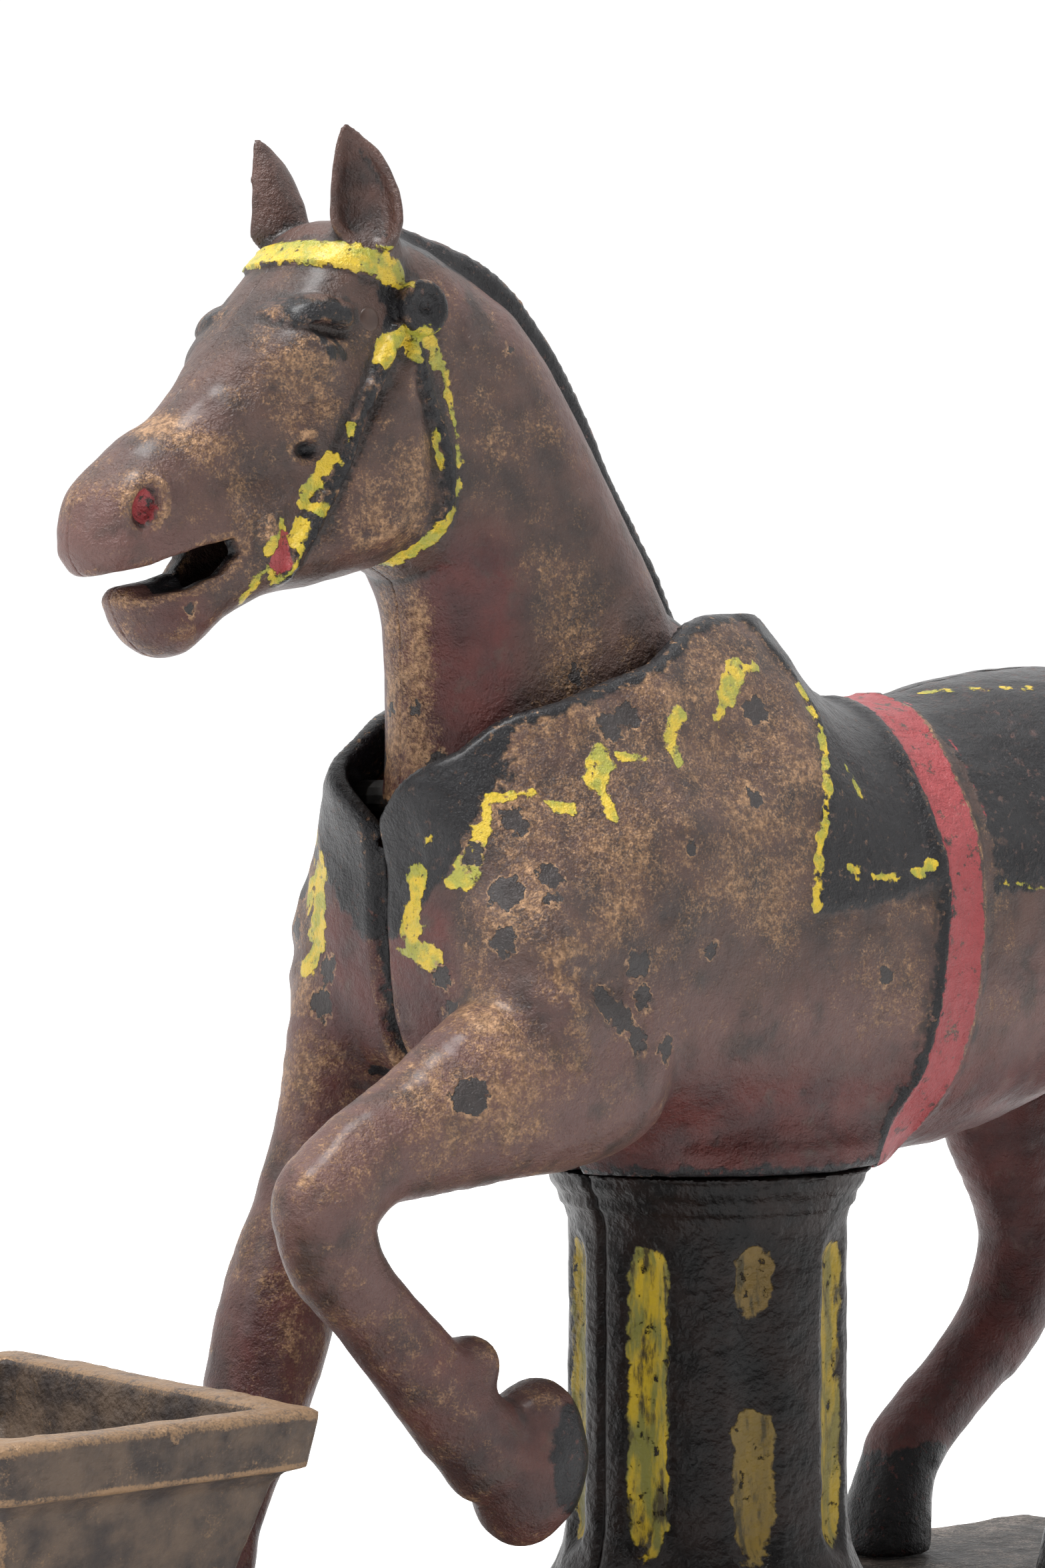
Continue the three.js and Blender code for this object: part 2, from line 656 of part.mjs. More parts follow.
const NECK = [
  [[9.9, 138.8], [-26.3, 122.5], 9.6],
  [[9, 141], [-26, 128], 9.6],
  [[5.4, 146.9], [-25.8, 134], 9.2],
  [[1, 154], [-26, 139], 8.8],
  [[-4.4, 163.4], [-28, 144], 8.4],
  [[-10.5, 170.6], [-32, 148], 8.2],
  [[-18, 175.2], [-37, 152], 8],
  [[-27, 177.2], [-40, 158], 7.2],
];
const HEAD = [
  [[-24, 176.5], [-22, 150], 6.5],
  [[-31, 176.8], [-26, 144], 8.4],
  [[-37.4, 172.6], [-31, 141.6], 9.4],
  [[-43, 167.6], [-38, 140.4], 9],
  [[-49, 162], [-44, 139], 7.4],
  [[-55, 156.4], [-49, 137], 6.4],
  [[-60.4, 151.4], [-53.4, 134], 6.2],
  [[-64.6, 147.6], [-57.4, 134], 6],
  [[-66, 143.6], [-60.4, 137.4], 3.6],
];
const LUG_PIN = polar(PIVOT, LUG_RADIUS, LUG_START);
const HEAD_RIVETS = { upper: [-35.6, 166.5], lower: [-4.6, 131.3] };
const MOUTH_CORNER = [-46.5, 144.2];

function ear(y) {
  return limb([
    [-32.2, y * 0.66, 171.6, 4, 2.8],
    [-34.4, y * 0.85, 176.5, 4, 2.6],
    [-36, y * 0.95, 181.5, 2.8, 1.8],
    [-37.4, y, 186, 0.6, 0.5],
  ], 8);
}

function headHalf(side) {
  const root = swept(PIVOT, rootOutline(0), LUG_START - 2, 33, 8);
  const hub = crossBar(PIVOT, -8.6, 8.6, 6.4, 18);
  const outside = joined(loft(sideRings(NECK, 16)), loft(sideRings(HEAD, 16)), root, hub, ear(-8), ear(8));
  const hollowEdge = [[9.5, -6.2], [30, -5.2], [34, -2.4], [34, 2.4], [30, 5.2], [9.5, 6.2]];
  const hollow = joined(
    swept(PIVOT, hollowEdge, LUG_START - 12, 36, 8),
    loft(sideRings(NECK.slice(0, -1), 12, 2.8)),
    loft(sideRings(HEAD.slice(2, 5), 12, 2.8)),
  );
  const mouth = plate([[MOUTH_CORNER[0], MOUTH_CORNER[1]], [-70, 137], [-70, 141.2], [-60, 142.6]], -12, 12);
  const kept = [
    crossBar(PIVOT, -12, 12, 7, 18),
    crossBar(LUG_PIN, -6.8, 6.8, 3.9, 14),
    ...Object.values(HEAD_RIVETS).map((spot) => crossBar(spot, -12, 12, 3.2, 14)),
  ];
  const eyeRoom = plate([[-13.4, 100], [-13.4, 119], [0.6, 119], [4, 100]], -2, 2);
  const whole = cut(
    outside,
    cut(hollow, ...kept),
    mouth,
    eyeRoom,
    crossBar(PIVOT, -12, 12, 2.3, 12),
    crossBar(LUG_PIN, -9.7, 9.7, 1.8, 10),
    ...Object.values(HEAD_RIVETS).map((spot) => crossBar(spot, -12, 12, 1.5, 10)),
  );
  return whole.intersect(HALF_SPACE[side]);
}

function neckPivotPin() {
  return crossBar(PIVOT, -12.3, 12.3, 2, 14);
}

function neckLugPin() {
  return crossBar(LUG_PIN, -8.2, 8.2, 1.5, 12);
}

// ---------------------------------------------------------------------------------------------
// Linkage
// ---------------------------------------------------------------------------------------------

const CRANK_FRONT = polar(CRANK, CRANK_FRONT_ARM, 180 + CRANK_SWING / 2);
const CRANK_TOP = polar(CRANK, CRANK_TOP_ARM, 90 + CRANK_SWING / 2);

function bellCrank() {
  const front = armPlate(CRANK, CRANK_FRONT, 3.4, 2.6, -1.6, 1.6);
  const top = armPlate(CRANK, CRANK_TOP, 3.4, 2.5, -1.6, 1.6);
  const hub = crossBar(CRANK, -5, 5, 3.9, 14);
  return cut(
    joined(front, top, hub),
    crossBar(CRANK, -6, 6, 2.3, 12),
    crossBar(CRANK_FRONT, -6, 6, 1.5, 10),
    crossBar(CRANK_TOP, -6, 6, 1.5, 10),
  );
}

function pushRod() {
  const eye = [-7, LUG_PIN[1]];
  const top = armPlate([-7, 104], [-7, LUG_PIN[1]], 2.4, 4, -1.6, 1.6);
  const slot = slotAlong(eye, 1.8, 0.9, 0, -3, 3);
  const bends = [[ROD_X, 0, 12], [ROD_X, 0, 84], [-7, 0, 98], [-7, 0, 106]];
  const shank = bentBar(bends, 1.5);
  const forkZ = CRANK_FRONT[1];
  const fork = cut(
    box([ROD_X - 3.4, -4, forkZ - 2.7], [ROD_X + 3.4, 4, forkZ + 6.6]),
    box([ROD_X - 5, -1.9, forkZ - 5], [ROD_X + 5, 1.9, forkZ + 5.1]),
  );
  const forkSlot = slotAlong([ROD_X, forkZ], 1.5, 0.95, 0, -6, 6);
  return joined(cut(top, slot), shank, cut(fork, forkSlot));
}

function rodPin() {
  return crossBar(CRANK_FRONT, -4.4, 4.4, 1.15, 10);
}

const COLLAR_X = 62;
const CROSSHEAD_X = 44;

function pullRod() {
  const forkX = CRANK_TOP[0];
  const fork = cut(
    box([forkX - 3, -4, PULL_Z - 3.6], [forkX + 7.6, 4, PULL_Z + 3.6]),
    box([forkX - 5, -1.9, PULL_Z - 5], [forkX + 5.8, 1.9, PULL_Z + 5]),
  );
  const forkSlot = slotAlong([forkX, PULL_Z], 1.5, 0.9, 90, -6, 6);
  const linkZ = linkHeight();
  return cut(
    joined(
      cut(fork, forkSlot),
      bar([forkX + 7, 0, PULL_Z], [94.5, 0, PULL_Z], 1.6, 12),
      bar([COLLAR_X - 2, 0, PULL_Z], [COLLAR_X, 0, PULL_Z], 4, 16),
      box([CROSSHEAD_X - 2, -2.4, linkZ - 2.6], [CROSSHEAD_X + 2, LINK_Y + 2.4, PULL_Z + 2.4]),
    ),
    bar([CROSSHEAD_X - 4, LINK_Y, linkZ], [CROSSHEAD_X + 4, LINK_Y, linkZ], 1.35, 10),
  );
}

function pullPin() {
  return crossBar(CRANK_TOP, -4.4, 4.4, 1.15, 10);
}

function pullKnob() {
  const profile = [
    [0, 92.2], [2.6, 92.2], [3.4, 93], [3, 94.4], [4.6, 96], [5.4, 98.2], [4.9, 100.6], [3, 102.2], [0, 102.8],
  ];
  const geometry = new THREE.LatheGeometry(profile.map(([r, h]) => new THREE.Vector2(r, h)), 18);
  geometry.rotateZ(-Math.PI / 2);
  geometry.translate(0, 0, PULL_Z);
  return cut(solidOf(geometry), bar([90, 0, PULL_Z], [94.9, 0, PULL_Z], 1.9, 12));
}

// The link's bent end runs level, so it slides along a slot in the flap's lever.
function linkHeight() {
  return FLAP_PIN[1] - FLAP_ARM * Math.cos(THREE.MathUtils.degToRad(FLAP_SWING / 2));
}

function flapLink() {
  const z = linkHeight();
  const x = polar(FLAP_PIN, FLAP_ARM, -90 - FLAP_SWING / 2)[0];
  return joined(
    bar([x - 1, LINK_Y, z], [CROSSHEAD_X + 3.4, LINK_Y, z], 1, 10),
    bar([x, LINK_Y + 0.8, z], [x, 8.6, z], 1, 10),
  );
}

function returnSpring() {
  const turns = 6;
  const start = COLLAR_X + FIT + 1;
  const end = 85.4;
  const points = [];
  for (let i = 0; i <= turns * 10; i++) {
    const angle = (2 * Math.PI * i) / 10;
    const x = start + ((end - start) * i) / (turns * 10);
    points.push([x, 3.3 * Math.cos(angle), PULL_Z + 3.3 * Math.sin(angle)]);
  }
  return wire(points, 0.55, turns * 10, 4);
}

// ---------------------------------------------------------------------------------------------
// Assembly
// ---------------------------------------------------------------------------------------------

const PAINT = {
  chestnut: { color: 0x5a2a1c, roughness: 0.5, metalness: 0.35 },
  head: { color: 0x6b3a22, roughness: 0.5, metalness: 0.4 },
  column: { color: 0x1c1a18, roughness: 0.5, metalness: 0.35 },
  manger: { color: 0x4a4038, roughness: 0.5, metalness: 0.45 },
  base: { color: 0x4c463c, roughness: 0.55, metalness: 0.35 },
  steel: { color: 0x6e6c68, roughness: 0.4, metalness: 0.9 },
  iron: { color: 0x35322f, roughness: 0.6, metalness: 0.7 },
};

const bank = new THREE.Group();

function place(name, solid, paint) {
  const mesh = new THREE.Mesh(geometryOf(solid), new THREE.MeshStandardMaterial(PAINT[paint]));
  mesh.name = name;
  bank.add(mesh);
}

place('base_box', baseBox(), 'base');
place('base_plate', basePlate(), 'iron');
screwPlaces().forEach((spot, i) => place(`base_screw_${i + 1}`, baseScrew(spot), 'steel'));
place('coin_trap', coinTrap(), 'iron');
place('trap_screw', trapScrew(), 'steel');
place('manger', manger(), 'manger');
place('manger_flap', mangerFlap(), 'manger');
place('flap_pin', flapPin(), 'steel');
for (const side of ['left', 'right']) {
  place(`manger_screw_${side}`, mangerScrew(SIGN[side] * 15), 'steel');
  place(`column_${side}`, columnHalf(side), 'column');
  place(`column_screw_${side}`, columnScrew(side), 'steel');
  place(`body_${side}`, bodyHalf(side), 'chestnut');
  place(`head_${side}`, headHalf(side), 'head');
}
for (const [where, { place: spot, headSeat }] of Object.entries(RIVETS)) {
  place(`body_rivet_${where}`, rivet(spot, headSeat + FIT, 1.5, 2.6, 0.9), 'chestnut');
}
place('head_rivet_upper', rivet(HEAD_RIVETS.upper, 9.6, 1.2, 2.8, 0.8), 'head');
place('head_rivet_lower', rivet(HEAD_RIVETS.lower, 7.5, 1.2, 1.4, 0.2), 'iron');
place('neck_pivot_pin', neckPivotPin(), 'steel');
place('neck_lug_pin', neckLugPin(), 'steel');
place('push_rod', pushRod(), 'iron');
place('push_rod_pin', rodPin(), 'steel');
place('bell_crank', bellCrank(), 'iron');
place('crank_pin', crossBar(CRANK, -8.6, 8.6, 2, 14), 'steel');
place('pull_rod', pullRod(), 'iron');
place('pull_rod_pin', pullPin(), 'steel');
place('pull_knob', pullKnob(), 'iron');
place('flap_link', flapLink(), 'steel');
place('return_spring', returnSpring(), 'steel');

export default bank;
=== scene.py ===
"""Looks of the cast-iron horse bank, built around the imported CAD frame.

Every casting is sculpted in millimetres as a field of distances on a regular grid, negative inside
the iron, and then skinned. A cast half is mostly a relief of the side view: at each place (x, z) it has
a half width, rounded off towards its outline. Legs, ears and rings are joined to that as solids. Halves
are made with y below zero, and the right ones are mirrored. Paint is kept on the vertices as distances
to painted strokes, and the materials turn those into chipped, uneven edges.
The horse looks along -X and its left side is -Y.
"""

import functools
import json
import math

import bpy
import numpy as np
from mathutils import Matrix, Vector


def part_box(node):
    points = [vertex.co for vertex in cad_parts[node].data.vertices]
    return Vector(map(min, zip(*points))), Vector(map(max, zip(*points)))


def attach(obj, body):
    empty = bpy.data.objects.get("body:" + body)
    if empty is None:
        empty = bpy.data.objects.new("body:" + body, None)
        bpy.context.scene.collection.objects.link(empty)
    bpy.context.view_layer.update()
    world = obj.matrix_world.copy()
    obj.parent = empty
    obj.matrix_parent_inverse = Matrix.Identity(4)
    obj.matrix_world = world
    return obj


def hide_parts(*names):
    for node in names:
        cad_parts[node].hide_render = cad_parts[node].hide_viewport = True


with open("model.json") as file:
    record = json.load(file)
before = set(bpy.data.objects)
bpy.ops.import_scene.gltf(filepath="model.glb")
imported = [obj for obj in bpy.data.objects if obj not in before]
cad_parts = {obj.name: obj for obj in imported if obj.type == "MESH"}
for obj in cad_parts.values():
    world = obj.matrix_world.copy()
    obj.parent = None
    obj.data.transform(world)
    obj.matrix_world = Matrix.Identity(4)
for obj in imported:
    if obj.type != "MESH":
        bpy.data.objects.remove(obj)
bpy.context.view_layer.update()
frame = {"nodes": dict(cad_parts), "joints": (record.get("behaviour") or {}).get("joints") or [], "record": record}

MM = 0.001
FAR = 20.0
SEAM = 0.01            # half the gap that is left between two cast halves
HEAD_STEP = 0.33       # grid spacings
BODY_STEP = 0.54
COLUMN_STEP = 0.4
MANGER_STEP = 0.5
BASE_STEP = 0.8
BODY_WALL = 2.4
HEAD_WALL = 2.6
CLEARANCE = 0.8        # between the neck and the body as the head bows
SHARP_ANGLE = 55       # degrees between faces, above which their edge is not smoothed

# --------------------------------------------------------------------------------------------
# Places taken from the frame, in millimetres
# --------------------------------------------------------------------------------------------


def joint(name):
    return next(item for item in frame["joints"] if item["name"] == name)


def low_of(node):
    return np.array(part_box(node)[0]) / MM


def high_of(node):
    return np.array(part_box(node)[1]) / MM


def middle_of(node):
    return (low_of(node) + high_of(node)) / 2


PIVOT_X, _, PIVOT_Z = (value / MM for value in joint("head_nod")["pos_m"])
NOD = math.radians(joint("head_nod")["range_deg"][1])
BASE_TOP = high_of("base_box")[2]
COLUMN_X = middle_of("column_left")[0]
COLUMN_AXIS = (COLUMN_X, 0)
COLUMN_TOP = high_of("column_left")[2]
CAPITAL_TOP = COLUMN_TOP - 5
LUG_PIN = middle_of("neck_lug_pin")
HEAD_RIVET = middle_of("head_rivet_upper")
NECK_RIVET = middle_of("head_rivet_lower")
BODY_RIVETS = [middle_of("body_rivet_front"), middle_of("body_rivet_rear")]

# --------------------------------------------------------------------------------------------
# Distances
# --------------------------------------------------------------------------------------------


def smooth_min(a, b, blend):
    if blend <= 0:
        return np.minimum(a, b)
    share = np.clip(0.5 + 0.5 * (b - a) / blend, 0, 1)
    return b + (a - b) * share - blend * share * (1 - share)


def smooth_max(a, b, blend):
    return -smooth_min(-a, -b, blend)


def smooth_step(value, low, high):
    share = np.clip((value - low) / (high - low), 0, 1)
    return share * share * (3 - 2 * share)


def spline(points, steps=6):
    """A smooth curve through points of any dimension."""
    points = np.array(points, float)
    padded = np.vstack([2 * points[0] - points[1], points, 2 * points[-1] - points[-2]])
    curve = []
    for before, start, end, after in zip(padded, padded[1:], padded[2:], padded[3:]):
        for share in np.arange(steps) / steps:
            curve.append(0.5 * (
                2 * start
                + (end - before) * share
                + (2 * before - 5 * start + 4 * end - after) * share ** 2
                + (3 * start - before - 3 * end + after) * share ** 3
            ))
    curve.append(points[-1])
    return np.array(curve)


def closed_spline(points, steps=6):
    wrapped = np.array([points[-1], *points, points[0], points[1]], float)
    return spline(wrapped, steps)[steps:-steps - 1]


def to_line(x, z, line):
    """Distance in the side view to a run of straight stretches."""
    nearest = np.full(np.broadcast_shapes(np.shape(x), np.shape(z)), FAR * FAR, np.float32)
    for (ax, az), (bx, bz) in zip(line[:-1], line[1:]):
        length = max((bx - ax) ** 2 + (bz - az) ** 2, 1e-9)
        share = np.clip(((x - ax) * (bx - ax) + (z - az) * (bz - az)) / length, 0, 1)
        away = (x - ax - share * (bx - ax)) ** 2 + (z - az - share * (bz - az)) ** 2
        nearest = np.minimum(nearest, away)
    return np.sqrt(nearest)


def depth_in(x, z, outline):
    """Distance in the side view to a closed outline, positive inside it."""
    ring = np.vstack([outline, outline[:1]])
    inside = np.zeros(np.broadcast_shapes(np.shape(x), np.shape(z)), bool)
    for (ax, az), (bx, bz) in zip(ring[:-1], ring[1:]):
        if az != bz:
            crosses = ((az > z) != (bz > z)) & (x < ax + (z - az) * (bx - ax) / (bz - az))
            inside ^= crosses
    return np.where(inside, 1, -1) * to_line(x, z, ring)


def bump(x, z, centre, radii, turn=0.0):
    """A smooth hill of height 1 in the side view."""
    c, s = math.cos(math.radians(turn)), math.sin(math.radians(turn))
    dx, dz = x - centre[0], z - centre[1]
    along, up = c * dx + s * dz, c * dz - s * dx
    return np.clip(1 - (along / radii[0]) ** 2 - (up / radii[1]) ** 2, 0, 1) ** 2


def bumps(x, z, places):
    """Several of them added up, from (height, centre, radii, turn)."""
    return sum(height * bump(x, z, centre, radii, turn) for height, centre, radii, turn in places)


def ridge(distance, half_width):
    """A rounded cord's height, 1 on its line."""
    return np.sqrt(np.clip(1 - (distance / half_width) ** 2, 0, 1))


def spread(x, z, places, reach):
    """Values given at a few places of the side view, (x, z, value), smoothed over all of it."""
    total = np.zeros(np.broadcast_shapes(np.shape(x), np.shape(z)), np.float32)
    weights = np.full_like(total, 1e-9)
    for px, pz, value in places:
        weight = np.exp(-((x - px) ** 2 + (z - pz) ** 2) / (2 * reach ** 2)) + 1e-7
        total += weight * value
        weights += weight
    return total / weights


def half_relief(y, depth, width, rounding):
    """A relief's field: half widths in the side view, rounded off towards the outline."""
    width = np.maximum(width, 0.3)[:, None, :]
    rounding = np.maximum(rounding, 0.5)[:, None, :]
    across = np.maximum(rounding - depth[:, None, :], 0) / rounding
    side = np.maximum(np.abs(y) / width, 1e-4)
    size = np.sqrt(across ** 2 + side ** 2)
    slope = np.sqrt((across / rounding) ** 2 + (side / width) ** 2)
    return (size / slope * (size - 1)).astype(np.float32)


def ball(centre, radii, turn=0.0):
    c, s = math.cos(math.radians(turn)), math.sin(math.radians(turn))

    def distance(x, y, z):
        dx, dy, dz = x - centre[0], y - centre[1], z - centre[2]
        parts = [c * dx + s * dz, dy, c * dz - s * dx]
        size = np.sqrt(sum((part / radius) ** 2 for part, radius in zip(parts, radii)))
        slope = np.sqrt(sum((part / radius ** 2) ** 2 for part, radius in zip(parts, radii)))
        return size * (size - 1) / np.maximum(slope, 1e-4)

    reach = max(radii)
    return distance, np.subtract(centre, reach), np.add(centre, reach)


def limb(points, steps=4):
    """A limb along [x, y, z, radius in the side view, its width as a share of that]."""
    stations = spline(points, steps)

    def distance(x, y, z):
        nearest = None
        for start, end in zip(stations[:-1], stations[1:]):
            run = end[:3] - start[:3]
            dx, dy, dz = x - start[0], y - start[1], z - start[2]
            share = np.clip((dx * run[0] + dy * run[1] + dz * run[2]) / max(run @ run, 1e-9), 0, 1)
            radius = start[3] + (end[3] - start[3]) * share
            flat = start[4] + (end[4] - start[4]) * share
            size = np.sqrt(
                (dx - share * run[0]) ** 2
                + ((dy - share * run[1]) / flat) ** 2
                + (dz - share * run[2]) ** 2
            )
            away = size - radius
            nearest = away if nearest is None else np.minimum(nearest, away)
        return nearest

    radii = stations[:, 3:4]
    return distance, (stations[:, :3] - radii).min(0), (stations[:, :3] + radii).max(0)


def cross_bar(place, radius, reach):
    """A round bar along Y, from the centre plane out to a depth."""

    def distance(x, y, z):
        round_part = np.sqrt((x - place[0]) ** 2 + (z - place[2]) ** 2) - radius
        return np.maximum(round_part, -y - reach)

    low = (place[0] - radius, -reach, place[2] - radius)
    return distance, low, (place[0] + radius, 0, place[2] + radius)


def upright(place, radius, bottom, top):
    """A round bar along Z, at a place whose x and y count."""

    def distance(x, y, z):
        return np.maximum(np.hypot(x - place[0], y - place[1]) - radius, np.maximum(bottom - z, z - top))

    low = (place[0] - radius, place[1] - radius, bottom)
    return distance, low, (place[0] + radius, place[1] + radius, top)


def block(low, high):
    """A box between two corners."""

    def distance(x, y, z):
        parts = [np.maximum(a - v, v - b) for v, a, b in zip((x, y, z), low, high)]
        return np.maximum(np.maximum(parts[0], parts[1]), parts[2])

    return distance, low, high


def revolved(profile):
    """A turned shape round the column's axis, from (radius, z)."""

    def distance(x, y, z):
        return -depth_in(np.hypot(x - COLUMN_X, y), z, profile)

    reach = profile[:, 0].max()
    low, high = profile[:, 1].min(), profile[:, 1].max()
    return distance, (COLUMN_X - reach, -reach, low), (COLUMN_X + reach, reach, high)


def lattice_noise(axes, spacing, seed):
    """Smooth noise from -1 to 1 on a grid, with lumps of one spacing."""
    places = [(axis - axis[0]) / spacing for axis in axes]
    counts = [int(place[-1]) + 2 for place in places]
    values = np.random.default_rng(seed).uniform(-1, 1, counts).astype(np.float32)
    for dimension, place in enumerate(places):
        lower = place.astype(int)
        share = place - lower
        share = (share * share * (3 - 2 * share)).reshape([-1 if i == dimension else 1 for i in range(3)])
        start = np.take(values, lower, axis=dimension)
        end = np.take(values, lower + 1, axis=dimension)
        values = start + (end - start) * share
    return values


class Casting:
    """A field of distances on a grid. A half ends at the centre plane, y = 0."""

    def __init__(self, low, high, step):
        self.step = step
        self.is_half = high[1] == 0
        counts = [math.ceil((b - a) / step) for a, b in zip(low, high)]
        self.axes = [b - step * np.arange(count, -1, -1.0) for b, count in zip(high, counts)]
        self.axes = [axis.astype(np.float32) for axis in self.axes]
        self.field = np.full([len(axis) for axis in self.axes], FAR, np.float32)

    def grid(self, window=(slice(None),) * 3):
        x, y, z = (axis[part] for axis, part in zip(self.axes, window))
        return x[:, None, None], y[None, :, None], z[None, None, :]

    def side_view(self):
        return self.axes[0][:, None], self.axes[2][None, :]

    def window(self, low, high, margin):
        return tuple(
            slice(*np.searchsorted(axis, (a - margin, b + margin)))
            for axis, a, b in zip(self.axes, low, high)
        )

    def join(self, shape, blend=0.0):
        self.merge(shape, blend, 1)

    def cut(self, shape, blend=0.0):
        self.merge(shape, blend, -1)

    def merge(self, shape, blend, sign):
        """Adds a solid where the sign is 1 and takes it away where it is -1."""
        distance, low, high = shape
        window = self.window(low, high, blend + 2 * self.step)
        if all(part.stop > part.start for part in window):
            merged = smooth_min(sign * self.field[window], distance(*self.grid(window)), blend)
            self.field[window] = sign * merged

    def spare(self, hollow, shape):
        """A hollow that leaves a solid shape standing."""
        return np.maximum(hollow, -shape[0](*self.grid()))

    def lift(self, heights):
        """Raises the surface by heights given in the side view."""
        self.field -= heights[:, None, :].astype(np.float32)

    def roughen(self, amount, spacing, seed):
        self.field -= amount * lattice_noise(self.axes, spacing, seed)

    def skin(self):
        """Vertices and quads of the surface."""
        vertices, quads = surface_net(np.pad(self.field, 1, constant_values=FAR))
        vertices = vertices * self.step + [axis[0] - self.step for axis in self.axes]
        if self.is_half:
            vertices[:, 1] = np.where(vertices[:, 1] > -1e-6, -SEAM, vertices[:, 1])
        return vertices, quads

    def bend(self, vertices, reach=1.0):
        """How far the surface bulges at each vertex: above zero on edges, below in creases."""
        spacing = max(int(round(reach / self.step)), 1)
        around = np.zeros_like(self.field)
        for axis in range(3):
            for offset in (-spacing, spacing):
                around += np.roll(self.field, offset, axis)
        bend = around / 6 - self.field
        place = [
            np.clip(np.rint((vertices[:, i] - axis[0]) / self.step), 0, len(axis) - 1).astype(int)
            for i, axis in enumerate(self.axes)
        ]
        if self.is_half:
            place[1] = np.minimum(place[1], len(self.axes[1]) - 1 - spacing)
        return bend[tuple(place)] / reach


CORNERS = np.array([(i, j, k) for i in (0, 1) for j in (0, 1) for k in (0, 1)])
CELL_EDGES = [
    (a, b) for a in range(8) for b in range(a + 1, 8) if abs(CORNERS[a] - CORNERS[b]).sum() == 1
]


def surface_net(field):
    """One vertex in each cell that the surface crosses, one quad round each grid edge that it crosses."""
    counts = np.array(field.shape) - 1
    parts = [field[tuple(slice(c, c + n) for c, n in zip(corner, counts))] for corner in CORNERS]
    below = sum((part < 0).astype(np.int8) for part in parts)
    crossed = (below > 0) & (below < 8)
    cells = np.argwhere(crossed)
    values = [part[crossed] for part in parts]
    total = np.zeros((len(cells), 3))
    hits = np.zeros(len(cells))
    for a, b in CELL_EDGES:
        cut = (values[a] < 0) != (values[b] < 0)
        share = values[a][cut] / (values[a][cut] - values[b][cut])
        total[cut] += CORNERS[a] + share[:, None] * (CORNERS[b] - CORNERS[a])
        hits[cut] += 1
    index = np.full(crossed.shape, -1, np.int64)
    index[crossed] = np.arange(len(cells))
    quads = np.vstack([edge_quads(field, index, axis) for axis in range(3)])
    return cells + total / hits[:, None], quads


def edge_quads(field, index, axis):
    """The quads round the grid edges along one axis, wound so that they face outwards."""
    u, v = (axis + 1) % 3, (axis + 2) % 3
    low, high = [slice(1, -1)] * 3, [slice(1, -1)] * 3
    low[axis], high[axis] = slice(0, -1), slice(1, None)
    start_inside = field[tuple(low)] < 0
    cut = np.argwhere(start_inside != (field[tuple(high)] < 0))
    outward = start_inside[tuple(cut.T)]
    cell = cut + [0 if i == axis else 1 for i in range(3)]
    step_u, step_v = np.eye(3, dtype=int)[u], np.eye(3, dtype=int)[v]
    ring = [cell - step_u - step_v, cell - step_v, cell, cell - step_u]
    quads = np.stack([index[tuple(corner.T)] for corner in ring], 1)
    return np.where(outward[:, None], quads, quads[:, ::-1])


def piece(name, vertices, faces, body, nodes, material, marks):
    """A mesh from millimetres, riding on a body in place of its CAD nodes."""
    mesh = bpy.data.meshes.new(name)
    mesh.vertices.add(len(vertices))
    mesh.vertices.foreach_set("co", (np.asarray(vertices) * MM).astype(np.float32).ravel())
    faces = np.asarray(faces)
    mesh.loops.add(faces.size)
    mesh.loops.foreach_set("vertex_index", faces.ravel().astype(np.int32))
    mesh.polygons.add(len(faces))
    mesh.polygons.foreach_set("loop_start", np.arange(0, faces.size, faces.shape[1], dtype=np.int32))
    mesh.update(calc_edges=True)
    mesh.shade_smooth()
    mesh.set_sharp_from_angle(angle=math.radians(SHARP_ANGLE))
    for mark, values in marks.items():
        layer = mesh.attributes.new(mark, "FLOAT", "POINT")
        layer.data.foreach_set("value", np.asarray(values, np.float32))
    obj = bpy.data.objects.new(name, mesh)
    bpy.context.scene.collection.objects.link(obj)
    mesh.materials.append(material)
    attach(obj, body)
    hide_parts(*nodes)


def mirrored(vertices, quads):
    return vertices * [1, -1, 1], quads[:, ::-1]


# --------------------------------------------------------------------------------------------
# Head and neck
# --------------------------------------------------------------------------------------------

FACE_TOP = [
    (-30, 176.8), (-36.6, 176.9), (-40.4, 173.4), (-44.6, 168.6), (-48.2, 164.2), (-51, 160.9),
    (-52.9, 158.9), (-55.5, 156.5), (-58.8, 154.5), (-61.6, 152.2), (-64.1, 149.9), (-65.4, 147.6),
    (-65.9, 145), (-65.7, 142.6), (-64.6, 140.9),
]
JAW = [
    (-62.4, 139.4), (-60.9, 138.4), (-60.2, 136.4), (-58.6, 134.4), (-56.2, 133), (-53.6, 133.1),
    (-51.4, 134.5), (-49, 136.5), (-46.2, 138.1), (-42.6, 139.4), (-38, 140.3), (-33.4, 141.4),
    (-29.4, 142.6),
]
NECK_FRONT = [(-26.4, 141), (-25.4, 137.6), (-25.1, 131), (-25.1, 124), (-25.4, 118.6)]
NECK_BACK = [
    (7.9, 139), (4.2, 145.4), (1.2, 150), (-2, 155.4), (-4.9, 160), (-8.6, 165), (-13, 169.4),
    (-18.2, 172.6), (-24, 175.2),
]
MANE = [
    (-31, 176.2), (-25.6, 175.3), (-17, 172.9), (-12, 170), (-7.8, 165.6), (-4.2, 160.6), (-1.4, 155.9),
    (1.8, 150.4), (4.6, 146.3), (8.4, 140), (11, 135),
]
NECK_ARC = 37.2        # radius of the neck's root behind the pivot
NECK_ROOT = [(-21.3, 112), (-8, 108.6)]

